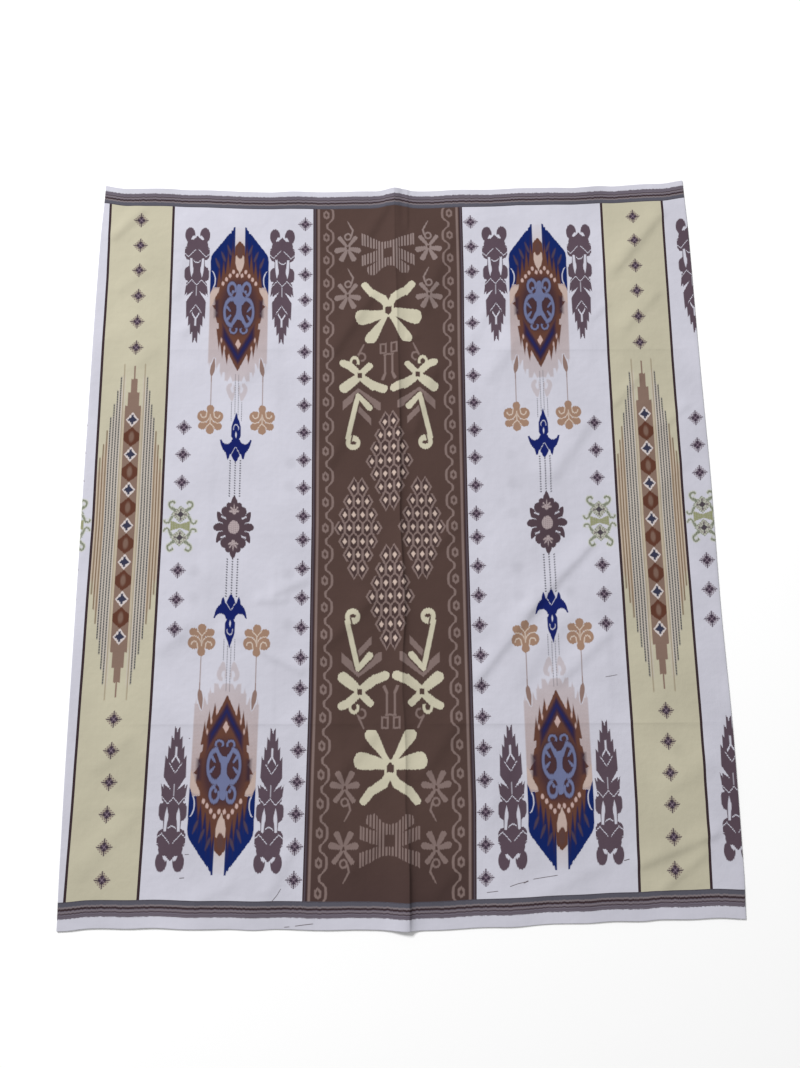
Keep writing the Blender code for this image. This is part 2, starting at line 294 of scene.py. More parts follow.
# --- where each part of the pattern lies, in millimetres -------------------------------------------
# Columns of the pattern, from the middle outwards and mirrored on the other side.  A column's own x runs
# from its middle; direction -1 turns it so that its large stars lie on the positive side.
Column = namedtuple("Column", "kind start end middle direction")
COLUMNS = table(
    Column,
    ("kepala", 0, 131.7, 0, 1),
    ("panel", 131.7, 380, 262.25, -1),
    ("strip", 380, 498, 439, 1),
    ("panel", 498, 747.5, 615.75, 1),
    ("strip", 747.5, 865.5, 806.5, 1),
    ("panel", 865.5, 1120, 997.25, -1))
BORDER_V = 586

# Which motifs a stretch of a column holds: its x from low to high, and how far along it is.
Zone = namedtuple("Zone", "painter kind low high near far")
ZONES = table(
    Zone,
    ("kepala_flowers", "kepala", -132, 132, 328, BORDER_V),
    ("kepala_crosses", "kepala", -132, 132, 205, 328),
    ("kepala_lattices", "kepala", -132, 132, 0, 205),
    ("medallions", "panel", -53.2, 53.2, 256, BORDER_V),
    ("trees", "panel", -140, -53.2, 256, BORDER_V),
    ("trees", "panel", 53.2, 101, 256, BORDER_V),
    ("garden", "panel", -58, 70, 0, 100),
    ("garden", "panel", -70, 70, 100, 256),
    ("scrolls", "panel", -140, -58, 0, 100),
    ("scrolls", "panel", -140, -70, 100, 256),
    ("stars", "panel", 70, 140, 0, 256),
    ("stars", "panel", 101, 140, 256, BORDER_V),
    ("strip_stars", "strip", -60, 60, 290, BORDER_V),
    ("spindle", "strip", -60, 60, 0, 290))
BORDER = len(ZONES)              # the banded ends are the last material


def zone_of(u, v):
    """The number of the zone that each place, in metres, lies in."""
    zone = np.full(u.shape, BORDER)
    side = np.abs(u) * 1000.0
    along = np.abs(v) * 1000.0
    for column in COLUMNS:
        inside = (side >= column.start) & (side < column.end)
        x = column.direction * (side - column.middle)
        for index, row in enumerate(ZONES):
            if row.kind == column.kind:
                within = (x >= row.low) & (x < row.high) & (along >= row.near) & (along < row.far)
                zone[inside & within] = index
    return zone


def own_x(u, centre_u):
    """The x, in millimetres, of each corner u in the column that its face's centre lies in."""
    x = u * 1000.0
    side = np.abs(centre_u) * 1000.0
    for column in COLUMNS[1:]:
        inside = (side >= column.start) & (side < column.end)
        x = np.where(inside, column.direction * (np.abs(u) * 1000.0 - column.middle), x)
    return x


def zone_edges():
    """Every u at which one zone meets another, in metres, on the right-hand side."""
    edges = set()
    for column in COLUMNS:
        edges.update((column.start, column.end))
        for row in ZONES:
            if row.kind == column.kind:
                for x in (row.low, row.high):
                    edge = column.middle + column.direction * x
                    if column.start < edge < column.end:
                        edges.add(edge)
    return sorted(edge / 1000.0 for edge in edges)


CLOSEST = 0.0001                 # an edge nearer than this to a stretch's end has no line of its own


def lines_between(start, stop, edges, step):
    """Grid lines from start to stop, at most a step apart, with one on every edge between."""
    inner = [edge for edge in edges if start + CLOSEST < edge < stop - CLOSEST]
    stops = [start] + inner + [stop]
    lines = [start]
    for here, after in zip(stops, stops[1:]):
        count = math.ceil((after - here) / step)
        lines += [here + (after - here) * i / count for i in range(1, count + 1)]
    return np.array(lines)


# --- sheets ----------------------------------------------------------------------------------------
FINE_STEP = 0.0044               # between grid lines of the front
FOLD_STEP = 0.0011               # between grid lines over the pressed fold
BACK_STEP = 0.0090
EDGE_STEP = 0.0005               # last row before an open end
END_HOLD = 0.5                   # share of the drift along that the two ends don't follow
HOLD_POWER = 8                   # how closely that hold keeps to the ends
SETTLING = 4                     # rounds after which a place and the drift there agree
BLEND_LINES = 4                  # grid lines between the back's turn and its even lines
CHART_EDGE = 0.004               # margin round the colour chart
TURN_STEPS = 4                   # facets where the cloth turns over a side fold
FRONT_U = (-0.498, 0.518)        # the even grid lines of the front end here
BACK_U = (0.523, 0.550)          # and those of the back begin here, on the left and on the right
FOLD_U = (-0.004, 0.046)         # the stretch over the pressed fold
FOLD_ROWS = ((-0.3370, -0.3190), (0.2960, 0.3160))   # the stretches over the two strongest fold lines


def rows_along(step):
    """Places along the cloth of the grid's rows."""
    fold_rows = [place for stretch in FOLD_ROWS for place in stretch]
    edges = {sign * far / 1000.0 for row in ZONES for far in (row.near, row.far) for sign in (-1, 1)}
    edges = sorted(edges | set(fold_rows))
    rows = [V_BOTTOM]
    stops = [V_BOTTOM + EDGE_STEP, *fold_rows, V_TOP - EDGE_STEP]
    for index, (start, stop) in enumerate(zip(stops, stops[1:])):
        part = lines_between(start, stop, edges, min(step, FOLD_STEP) if index % 2 else step)
        rows += list(part if index == 0 else part[1:])
    return np.array(rows + [V_TOP])


def along_place(x, v, inset=0.0, drawn=0.0):
    """The y of cloth at (x, v), between the two ends; drawn is how far it is drawn along from there."""
    share = (v - V_BOTTOM) / (V_TOP - V_BOTTOM)
    bottom = end_bottom(x) + inset
    y = bottom + share * (end_top(x) - inset - bottom)
    y = y + ripple_bottom(x) * smoothstep(1.0 - (v - V_BOTTOM) / RIPPLE_REACH)
    y = y + ripple_top(x) * smoothstep(1.0 - (V_TOP - v) / RIPPLE_REACH)
    return y + drawn * (1.0 - END_HOLD * np.abs(2.0 * share - 1.0) ** HOLD_POWER)


def laid(u, v):
    """Where cloth at (u, v) lies, for the even grid lines of the front."""
    y = v + np.zeros_like(u)
    for _ in range(SETTLING):
        x = u + CENTRE_X + drift(u, y, "across")
        y = along_place(x, v, drawn=drift(u, y, "along"))
    return x, y


def side_fold(side, v, inset=0.0):
    """The outermost x of a side fold in each row."""
    fold = fold_left if side < 0 else fold_right
    y = v
    for _ in range(SETTLING):
        x = fold(y)
        y = along_place(x, v, inset)
    return x


def fold_u(side, v):
    """The u of the cloth that lies at a side fold, in each row."""
    edge_u = FRONT_U[0] if side < 0 else FRONT_U[1]
    edge_x, _ = laid(np.full_like(v, edge_u), v)
    return edge_u + side_fold(side, v) - edge_x


def front_columns():
    """Places across the cloth of the front's even grid lines."""
    edges = zone_edges()
    edges = sorted([-edge for edge in edges] + edges)
    left = lines_between(FRONT_U[0], FOLD_U[0], edges, FINE_STEP)
    middle = lines_between(FOLD_U[0], FOLD_U[1], edges, FOLD_STEP)
    right = lines_between(FOLD_U[1], FRONT_U[1], edges, FINE_STEP)
    return np.concatenate([left, middle[1:], right[1:]])


def side_by_side(*parts):
    """Grids joined side by side."""
    return np.concatenate(parts, axis=1)


def front_grid():
    """Grids of x, y, z, u and v for the front, from the left fold to the right one."""
    v = rows_along(FINE_STEP)[:, None]
    u = front_columns()[None, :] + np.zeros_like(v)
    x, _ = laid(u, v)
    columns = [(x, u, np.ones_like(x))]
    for side, edge in ((-1, 0), (1, -1)):
        fold_x = side_fold(side, v)
        last_u = fold_u(side, v)
        start_x = fold_x - side * TURN
        steps = np.linspace(0.0, 1.0, math.ceil(FOLD_REST / FINE_STEP) + 1)[None, 1:]
        run_x = x[:, [edge]] + (start_x - x[:, [edge]]) * steps
        run_u = u[:, [edge]] + (last_u - side * TURN - u[:, [edge]]) * steps
        angle = np.linspace(0.0, math.pi / 2.0, TURN_STEPS + 1)[None, 1:]
        turn_x = start_x + side * TURN * np.sin(angle)
        turn_u = last_u + side * TURN * (angle - 1.0)
        height = side_by_side(np.ones_like(run_x), np.cos(angle) + np.zeros_like(turn_x))
        extra = (side_by_side(run_x, turn_x), side_by_side(run_u, turn_u), height)
        if side < 0:
            columns.insert(0, tuple(part[:, ::-1] for part in extra))
        else:
            columns.append(extra)
    x, u, height = (side_by_side(*parts) for parts in zip(*columns))
    v = v + np.zeros_like(x)
    y = along_place(x, v, drawn=drift(u, along_place(x, v), "along"))
    z = FRONT_TOP - TURN + TURN * height + front_lift(x, y)
    return x, y, z, u, v


def back_grid(side):
    """The same for one side of the back, from its side fold to the seam."""
    v = rows_along(BACK_STEP)[:, None]
    fold_x = side_fold(side, v, BACK_SHORT)
    last_u = fold_u(side, v)
    angle = np.linspace(0.0, math.pi / 2.0, TURN_STEPS + 1)[None, :]
    turn_x = fold_x - side * TURN * (1.0 - np.cos(angle))
    turn_u = last_u + side * TURN * (angle + math.pi / 2.0 - 1.0)
    turn_z = BACK_UNDER + TURN * (1.0 - np.sin(angle)) + np.zeros_like(turn_x)
    start_x = turn_x[:, [-1]]
    start_u = turn_u[:, [-1]]
    seam_u = SEAM_U[0] if side < 0 else SEAM_U[1]
    blend = np.linspace(0.0, 1.0, BLEND_LINES + 2)[None, 1:-1]
    first_u = BACK_U[0] if side < 0 else BACK_U[1]
    even = side * lines_between(first_u, abs(seam_u), zone_edges(), BACK_STEP)
    u = side_by_side(start_u + (side * first_u - start_u) * blend, even[None, :] + np.zeros_like(v))
    end_x = seam_x(v) + side * GAP / 2.0
    x = start_x + (u - start_u) / (seam_u - start_u) * (end_x - start_x)
    x = side_by_side(turn_x, x)
    u = side_by_side(turn_u, u)
    v = v + np.zeros_like(x)
    y = along_place(x, v, BACK_SHORT)
    y = along_place(x, v, BACK_SHORT, drift(u, y, "along") * (seam_u - u) / (seam_u - last_u))
    z = BACK_UNDER + back_lift(x, y)
    z[:, :TURN_STEPS + 1] = turn_z
    return x, y, z, u, v


def with_edges(grid, inward):
    """The grid with the cloth's thickness turned in at both open ends: inward is 1 if that lies above."""
    x, y, z, u, v = grid
    rows = []
    for part, below, lip, mirror in ((x, 0.0, 0.0, 1.0), (y, 0.0, LIP, -1.0),
                                     (z, inward * CLOTH, inward * CLOTH, 1.0),
                                     (u, 0.0, 0.0, 1.0), (v, -CLOTH, -LIP, -1.0)):
        start = part[[0]]
        end = part[[-1]]
        rows.append(np.concatenate([start + lip, start + below, part,
                                    end + mirror * below, end + mirror * lip]))
    return rows


def placed(name, data):
    """A new object in the scene."""
    made = bpy.data.objects.new(name, data)
    bpy.context.scene.collection.objects.link(made)
    return made


def sheet(name, grid, inward, materials):
    """A mesh object from a grid; each face takes the material of the pattern's zone that it lies in."""
    x, y, z, u, v = with_edges(grid, inward)
    rows, columns = x.shape
    index = np.arange(rows * columns).reshape(rows, columns)
    corners = (index[:-1, :-1], index[:-1, 1:], index[1:, 1:], index[1:, :-1])
    quads = np.stack(corners, axis=-1).reshape(-1, 4)
    runs_right = x[0, -1] > x[0, 0]
    if runs_right != (inward < 0):
        quads = quads[:, ::-1]
    mesh = bpy.data.meshes.new(name)
    mesh.from_pydata(np.stack([x, y, z], axis=-1).reshape(-1, 3).tolist(), [], quads.tolist())
    u = u.reshape(-1)
    v = v.reshape(-1)
    centre_u = u[quads].mean(axis=1)
    centre_v = v[quads].mean(axis=1)
    pattern = np.stack([own_x(u[quads], centre_u[:, None]), v[quads] * 1000.0], axis=-1)
    chart = np.stack([(u - u.min()) / np.ptp(u), (v - v.min()) / np.ptp(v)], axis=-1)[quads]
    chart = CHART_EDGE + chart * (1.0 - 2.0 * CHART_EDGE)
    for layer, places in (("pattern", pattern), ("OFBake", chart)):
        flat = places.reshape(-1).astype(np.float32)
        mesh.uv_layers.new(name=layer).data.foreach_set("uv", flat)
    zones = zone_of(centre_u, centre_v)
    used = sorted(set(zones.tolist()))
    for zone in used:
        mesh.materials.append(materials[zone])
    mesh.polygons.foreach_set("material_index", np.searchsorted(used, zones).astype(np.int32))
    mesh.shade_smooth()
    mesh.update()
    return placed(name, mesh)


# --- a pattern in shader nodes ---------------------------------------------------------------------
def made_by(operation):
    """A function of a few numbers that a Math node works out."""
    return lambda *values: maths(operation, *values)


class Shade:
    """A number that a material works out at each point of the cloth: arithmetic on it adds Math nodes.

    Most are distances outside a form: then a | b is both forms together, a & b is what they share, and -a
    is everything outside a.  In Python | binds last, then &, and both after + and -.
    """

    __add__ = __radd__ = made_by("ADD")
    __sub__ = made_by("SUBTRACT")
    __mul__ = __rmul__ = made_by("MULTIPLY")
    __truediv__ = made_by("DIVIDE")
    __abs__ = made_by("ABSOLUTE")
    __and__ = __rand__ = made_by("MAXIMUM")
    __or__ = __ror__ = made_by("MINIMUM")

    def __init__(self, socket):
        self.socket = socket

    def __rsub__(self, other):
        return maths("SUBTRACT", other, self)

    def __neg__(self):
        return self * -1.0


less = made_by("LESS_THAN")      # 1 where it holds, and 0 elsewhere
more = made_by("GREATER_THAN")
nearest = made_by("ROUND")       # whole number
sine = made_by("SINE")


def feed(entry, value):
    """Give a node's input a worked-out number, another node's output, or something fixed."""
    if isinstance(value, Shade):
        value = value.socket
    if isinstance(value, bpy.types.NodeSocket):
        entry.id_data.links.new(value, entry)
    else:
        entry.default_value = value


def added(tree, kind, inputs, **settings):
    """A new shader node with its settings, and the inputs that are named or numbered."""
    node = tree.nodes.new("ShaderNode" + kind)
    for key, value in settings.items():
        setattr(node, key, value)
    for key, value in inputs.items():
        feed(node.inputs[key], value)
    return node


def maths(operation, *values, clamp=False):
    """A Math node's result."""
    tree = next(value.socket.id_data for value in values if isinstance(value, Shade))
    inputs = dict(enumerate(values))
    return Shade(added(tree, "Math", inputs, operation=operation, use_clamp=clamp).outputs[0])


def clamped(a, low, high):
    return maths("MINIMUM", maths("MAXIMUM", a, low), high)


def wrapped(a, top, bottom=0.0):
    """The same place in a pattern that repeats from bottom to top."""
    return maths("WRAP", a, top, bottom)


def scatter(a):
    """One random number from 0 to 1 for each whole number."""
    node = added(a.socket.id_data, "TexWhiteNoise", {"W": a}, noise_dimensions="1D")
    return Shade(node.outputs["Value"])


class Point:
    """A place on the cloth, in millimetres."""

    def __init__(self, x, y):
        self.x = x
        self.y = y

    def mirrored(self):
        """The same place seen from a middle line along the cloth."""
        return Point(abs(self.x), self.y)

    def folded(self):
        """The same place seen from a middle line each way."""
        return Point(abs(self.x), abs(self.y))

    def local(self, at, turn=0.0, size=(1.0, 1.0)):
        """The same place seen from a motif's middle, turned by degrees, in units of the motif's size."""
        if turn == 0.0:
            return Point(*(value - middle if unit == 1.0
                           else maths("MULTIPLY_ADD", value, 1.0 / unit, -middle / unit)
                           for value, middle, unit in zip((self.x, self.y), at, size)))
        c = math.cos(math.radians(turn))
        s = math.sin(math.radians(turn))
        x = maths("MULTIPLY_ADD", self.x, c / size[0], -(at[0] * c + at[1] * s) / size[0])
        x = maths("MULTIPLY_ADD", self.y, s / size[0], x)
        y = maths("MULTIPLY_ADD", self.x, -s / size[1], (at[0] * s - at[1] * c) / size[1])
        y = maths("MULTIPLY_ADD", self.y, c / size[1], y)
        return Point(x, y)

    def length(self):
        tree = self.x.socket.id_data
        vector = added(tree, "CombineXYZ", {0: self.x, 1: self.y}).outputs[0]
        return Shade(added(tree, "VectorMath", {0: vector}, operation="LENGTH").outputs["Value"])


def profile(a, rows, smooth=False):
    """A number read off a short table of (place, value), straight or smooth between its rows."""
    low = rows[0][0]
    reach = rows[-1][0] - low
    floor = min(value for _, value in rows)
    rise = max(value for _, value in rows) - floor
    node = added(a.socket.id_data, "FloatCurve", {})
    curve = node.mapping.curves[0]
    node.mapping.extend = "HORIZONTAL"
    for _ in rows[2:]:
        curve.points.new(0.5, 0.5)
    for point, (place, value) in zip(curve.points, rows):
        point.location = ((place - low) / reach, (value - floor) / rise)
        point.handle_type = "AUTO_CLAMPED" if smooth else "VECTOR"
    node.mapping.update()
    feed(node.inputs["Value"], maths("MULTIPLY_ADD", a, 1.0 / reach, -low / reach))
    return maths("MULTIPLY_ADD", Shade(node.outputs[0]), rise, floor)


def cover(distance, soft):
    """How much of the shape covers each point: 1 inside it, 0 outside, over a soft edge."""
    return maths("MULTIPLY_ADD", distance, -1.0 / soft, 0.5, clamp=True)


def paint(under, mask, colour):
    """One colour over what is there already."""
    inputs = {"Factor": mask, 6: under, 7: colour}
    return Shade(added(mask.socket.id_data, "Mix", inputs, data_type="RGBA").outputs[2])


def dyed(colour, *layers):
    """Shapes over a colour: each has its soft edge, its dye, its distance and perhaps its strength."""
    for soft, name, shape, *strength in layers:
        mask = reduce(mul, strength, cover(shape, soft))
        colour = paint(colour, mask, DYE[name])
    return colour


# --- shapes: each gives the distance outside a form, in millimetres near its edge --------------------
BLADE_END = 0.03                 # share of its length past each end at which a blade has closed
BLADE_CLOSED = -3                # its half width there
UPRIGHT_END = 0.6                # how far past each end an upright form has closed
UPRIGHT_CLOSED = -4              # its half width there


def disc(p, at, radii, turn=0):
    """An ellipse."""
    return (p.local(at, turn, radii).length() - 1) * min(radii)


def ring(p, at, radii, half_line):
    """A line round an ellipse."""
    return abs(disc(p, at, radii)) - half_line


def slab(p, at, half, turn=0):
    """A rectangle."""
    q = p.local(at, turn)
    return abs(q.x) - half[0] & abs(q.y) - half[1]


def lozenge(p, at, half):
    q = p.local(at, 0, half)
    return (abs(q.x) + abs(q.y) - 1) * min(half)


def blade(p, at, turn, length, *rows):
    """A leaf, petal or stroke that runs from a point: rows give its half width along its length."""
    q = p.local(at, turn, (length, 1))
    start = (-BLADE_END, BLADE_CLOSED)
    tip = (1 + BLADE_END, BLADE_CLOSED)
    return abs(q.y) - profile(q.x, (start, *rows, tip), smooth=True)


def upright(a, y, rows):
    """A form given by its half width at each place along the cloth."""
    near = (rows[0][0] - UPRIGHT_END, UPRIGHT_CLOSED)
    far = (rows[-1][0] + UPRIGHT_END, UPRIGHT_CLOSED)
    return a - profile(y, (near, *rows, far))


def union(forms):
    return reduce(or_, forms)


def each(shape, p, *rows):
    """Several forms of one shape."""
    return union(shape(p, *row) for row in rows)


def repeated(y, first, spacing, count):
    """Distance along from the nearest of a few evenly spaced places."""
    index = clamped(nearest((y - first) / spacing), 0, count - 1)
    return y - first - index * spacing


# --- motifs ----------------------------------------------------------------------------------------
STAR_GRAIN = 3.1                 # between the woven points round a star


def paint_star(under, x, y):
    """Small woven star: a dark, speckled lozenge with four spikes, in a paler one fringed with points."""
    a = abs(x)
    b = abs(y)
    points = abs(a - nearest(a / STAR_GRAIN) * STAR_GRAIN)
    points = points + abs(b - nearest(b / STAR_GRAIN) * STAR_GRAIN) - 1.3
    fringe = points & a * 1.04 + b - 14
    core = a * 1.06 + b - 8 & a - 6.4 & b - 6.8
    spikes = a - 0.8 & b - 12.6 | b - 0.8 & a - 11.8
    specks = each(disc, Point(a, b), ((2.5, 2.7), (1, 1)), ((0, 0), (1.6, 1.6)))
    return dyed(
        under, (6, "star_fringe", a * 1.04 + b - 11.4, 0.4), (1, "star_fringe", fringe, 0.85),
        (1.2, "star", core | spikes, 0.94), (1.2, "star_heart", specks, 0.62))


LEAF_LEAN = 1.8                  # how far a leaf's tip runs ahead, for each millimetre it stands out
LEAVES_HALF = (   # along with that lean, half width of the plant's leafy part
    (333, 4.2), (355.6, 4.8), (356.1, 8.6), (377.6, 9.2), (378.1, 12.4), (399.8, 12.8), (400.3, 16.4),
    (435, 17.4), (450.6, 16.4), (451.1, 20.6), (467.5, 18.6), (472, 17.2),
)
STEM_HALF = (   # along, half width of its lobed part
    (438, 16.2), (443, 15.4), (444, 19.6), (449, 21.6), (462, 21.6), (468, 19), (471, 14), (482, 13.4),
    (484, 18.6), (490, 22), (503, 22.2), (506, 18), (512, 19), (518, 17.6), (522, 12.4),
)
SLIT_INNER = ((450, 9), (456, 7.6), (464, 6.2), (472, 7.4), (486, 8.6))
SLIT_OUTER = ((450, 9.2), (458, 11), (466, 12), (486, 12.4))


def plant(p):
    """Columnar plant: scrolls on top, lobes at the shoulder, then downward leaves to a ragged foot."""
    a = abs(p.x)
    y = p.y
    q = Point(a, y)
    slit = (profile(y, SLIT_INNER, smooth=True) - a & a - profile(y, SLIT_OUTER, smooth=True)
            & abs(y - 468) - 18)
    shoulder = abs(y - 503 + a * 1.1 - 3) - 0.8 & abs(a - 9) - 6.4
    shoulder = shoulder | abs(y - 489 - (a - 15.4) * 0.9) - 0.8 & abs(a - 18.6) - 4
    leaf = abs(y - 439 - (abs(a - 8.6) * -1.15 + 6 & -7)) - 0.8
    notch = abs(y - 408 - (18 - a) * 1.2) - (a - 5) * 0.42 & 5 - a
    collar = abs(y - 478 - a * a * 0.1) - 0.9 & a - 6.4
    arrow = abs(y - 398 + a * 1.5) - 1 & abs(a - 5.2) - 4.6
    fork = a - 1.5 & abs(y - 365) - 7 | abs(y - 371 - a * 1.7) - 2.2 & a - 6.4
    vein = a - 0.5 & abs(y - 424) - 9 | a - 0.8 & y - 335
    cuts = slit | shoulder | leaf | notch | collar | arrow | fork | vein
    head = a + (y - 530) * 0.9 & 505 - y
    scroll = disc(q, (13.2, 531), (9, 14.8)) & -disc(q, (7.8, 522), (3.6, 8), 14)
    leaves = upright(a, y + a * LEAF_LEAN, LEAVES_HALF) & y - 440
    return (leaves | upright(a, y, STEM_HALF) | head | scroll) & -cuts


def trees(p):
    """Upper part of a white panel, beside its medallion."""
    return dyed(DYE["white"], (1, "purple", plant(p.folded().local((75.5, 0)))))


def stars(p):
    """The column of stars at a panel's side."""
    return paint_star(DYE["white"], p.x - 116.5, repeated(abs(p.y), 20, 48.7, 12))


def scrolls(p):
    """The panel's other side near mid-length: three stars, then bows, hooks and a ringed star."""
    b = abs(p.y)
    colour = paint_star(DYE["white"], p.x + 88.5, repeated(b, 75, 48.6, 3))
    q = Point(abs(p.x + 88.5), b)
    bow = q.x - 16.2 & q.y - 3.2 - q.x * 0.36
    around = q.x * 0.94 + abs(q.y - 19.8)
    top_hook = ring(q, (14.6, 36.4), (4.8, 5.2), 1.5) & 35 - q.y - (q.x - 12.6) * 1.3
    side_hook = ring(q, (22, 9), (4.4, 4.4), 1.3) & q.y - 9.8
    stem = blade(q, (8, 25.6), 34, 11, (0, 2.8), (0.5, 2.2), (1, 1.3))
    twig = blade(q, (13.4, 16.8), -62, 9, (0, 2), (1, 1.2))
    grain = (wrapped(q.x + 0.7, 2.8) | wrapped(b + 0.5, 2.8)) - 1
    outer = abs(around - 13.8) - 1.3 & grain
    inner = abs(around - 9.8) - 1.7 & -0.2 - grain
    lines = top_hook | side_hook | stem | twig
    star = around - 6 | q.x - 1.1 & abs(q.y - 19.8) - 9 | abs(q.y - 19.8) - 1.1 & q.x - 8.8
    return dyed(
        colour, (2.4, "sage_pale", lines - 1.2 | around - 14.8, 0.62),
        (1.2, "sage", lines | outer, 0.56 + 0.44 * cover(grain, 0.8)),
        (1.6, "olive", bow, 0.72 + 0.28 * cover(grain, 0.8)), (1.2, "star_fringe", inner, 0.8),
        (2, "star", star, 0.92))


BIRD_HALF = (   # along, half width of the bird's outline
    (112, 0), (116, 3), (124, 6.8), (127, 7.4), (128, 15.6), (132, 19.6), (136, 22.4), (142, 24.8),
    (152.4, 27.2), (152.8, 5.8), (155, 6), (159, 8.2), (176, 8), (183, 6), (191, 3), (201, 0.2),
)


def paint_bird(under, q):
    """Bird seen from above, wings lifted, over a pointed crown."""
    foot = blade(q, (12.4, 132), -88, 14.4, (0, 4.2), (0.5, 3), (1, 0.4))
    shape = upright(q.x, q.y, BIRD_HALF) & -disc(q, (15.8, 154), (8.6, 9.2), -14) | foot
    shape = shape & -disc(q, (8.4, 120), (1.8, 6.4))
    pips = (ring(q, (0, 172), (4.4, 7), 0.5) & 170 - q.y | disc(q, (0, 161), (1.3, 4.8))
            | abs(q.x - 2.8 - (135 - q.y) * 0.55) - 0.5 & abs(q.y - 131) - 8)
    return dyed(under, (1, "royal", shape), (1, "white", pips))


def paint_rosette(under, q):
    """Mirrored flower on the middle line: lobes above and below, petals and horns at the sides."""
    shape = (each(blade, q, ((0, 30), 90, 23, (0, 7), (0.55, 5.6), (1, 0.8)),
                  ((10, 5), 36, 15, (0, 5.4), (1, 5)),
                  ((20, 11.4), 64, 17, (0, 6), (0.4, 5.2), (0.75, 3), (1, 0.3)))
             | each(disc, q, ((8, 37), (5, 5.6)), ((12.8, 26), (8.2, 9.6), -18), ((0, 12), (13.6, 22)),
                    ((24.4, 0), (9.4, 7))) | slab(q, (12, 0), (10, 6.4)))
    cut = each(blade, q, ((13, 14), 28, 9, (0, 0.4), (0.5, 0.9), (1, 1.3)),
               ((18, 6.4), 14, 13, (0, 0.3), (0.5, 0.7), (1, 1.3)))
    pale = (each(disc, q, ((0, 0), (9.2, 11.4)), ((0, 26), (3.2, 4.4)), ((5, 27.4), (3.4, 2), 20),
                 ((0, 34), (1.1, 5.2))) | blade(q, (1.6, 29), 52, 8, (0, 1.3), (1, 0.5)))
    grain = disc(Point(wrapped(q.x + 1.6, 3.2), wrapped(q.y + 1.6, 3.2)), (1.6, 1.6), (0.9, 0.9))
    return dyed(under, (1, "plum", shape & -cut), (1, "blush", pale, 1 - 0.5 * cover(grain, 0.8)))


def paint_palmette(under, p):
    """Pendant palmette: a foot on the string, a scroll and a lobe at each side, and a knob."""
    q = p.mirrored()
    shape = (each(disc, q, ((0, 19.4), (6.4, 6.8)), ((12.2, 5), (10, 10.4)), ((12, -11.4), (8.6, 7), -24),
                  ((0, -19.6), (6.8, 6.6))) | slab(q, (0, 0), (5.6, 18)))
    lines = (q.x - 0.8 & abs(q.y - 1.4) - 8.4 | abs(q.y + 6.6 + q.x * 1.1) - 1.2 & q.x - 8
             | ring(q, (13.6, 6.6), (12.6, 12.6), 0.8) & q.y - 5.4 & q.x - 19 & 1.4 - q.x
             | ring(q, (11.4, 8.2), (4.8, 5.4), 0.9) & q.y - 8.8
             | blade(q, (6.8, 8), 100, 7, (0, 0.9), (1, 0.7)))
    return dyed(under, (1, "tan", shape), (1, "tan_line", lines & shape, 0.9))


def garden(p):
    """Middle of a white panel: a flower at mid-length, a bird, palmettes on strings, faint buds."""
    q = p.folded()
    b = q.y
    dotted = (abs(q.x - 8.6) | q.x) - 1.2 & abs(b - 84) - 33
    strings = abs(q.x - 2.8) - 0.6 & abs(b - 228) - 32 | abs(q.x - 8.8) - 0.6 & abs(b - 203) - 17
    knots = less(wrapped(b, 4.2), 2.6)
    hollow = disc(q, (8, 242), (2.6, 5.6), -14) | slab(q, (7, 250), (1.6, 6))
    bud = disc(q, (10.6, 243), (7.6, 10.6)) | blade(q, (10.4, 240), -97, 18, (0, 6.8), (0.5, 5), (1, 0.6))
    bud = bud & -hollow
    stem = abs(q.x - 44.5) - 0.8 & abs(b - 240) - 30
    colour = dyed(
        DYE["white"], (1, "string", dotted, less(wrapped(b, 4.4), 2.2)),
        (1, "string", strings, knots * 0.6 + 0.2), (1.4, "peach_shade", bud, 0.42),
        (1, "umber", stem, 0.8))
    colour = paint_palmette(colour, q.local((44.5, 188)))
    colour = paint_bird(colour, q)
    return paint_rosette(colour, q)


WING_HALF = (   # along, half width of the wings
    (432, 51), (464, 51.2), (482, 51.6), (491, 50.4), (497, 47.6), (536, 19), (537, 16), (542, 15.4),
    (543, 12.6), (549, 11.4),
)
PLATE_INNER = ((419, 51.4), (430, 47.2), (446, 43.6), (456, 45.4), (465, 50.8))     # of the side plates
SHIELD_HALF = (   # along, half width of the medallion's body
    (276, 0.4), (297, 10.6), (314, 19), (330, 27.2), (344, 33.8), (364, 35), (366, 38), (378, 40.4),
    (384, 37.4), (398, 47.2), (399, 41.4), (412, 42.4), (424, 36), (436, 34), (450, 30), (461, 22),
    (468, 14.4), (476, 11), (512, 8.4), (521, 1),
)
FUNNEL_HALF = ((457, 0.6), (462, 1.6), (468, 5.2), (480, 7.8), (492, 7.4), (497, 3))
# Spikes: across, foot, half width, height; a negative height points up.
TEETH = ((33.4, 316, 5, 38), (27, 300, 6.4, 42), (18.8, 288, 6.8, 38))
PALE_TEETH = ((49, 284, 2.2, 12), (36, 279, 5, 14), (27.4, 265, 3, 12))
PEAKS = ((12.4, 506, 5.4, -44), (20.4, 494, 5, -44), (28.2, 480, 4.8, -40), (35.6, 466, 4.6, -36))
BEADS = ((4.2, 455), (10.8, 462), (16.8, 454.5), (23, 447), (29, 439.5))
FLAMES = ((15, 493), (25.4, 481), (35.6, 468))
CUFFS = ((15.6, 302), (23.4, 317.5), (29.2, 333))


def tooth(q, across, foot, half_width, height):
    """A spike with its point at the foot."""
    rise = (q.y - foot) * math.copysign(1, height)
    return abs(q.x - across) - rise * (half_width / abs(height)) & rise - abs(height)


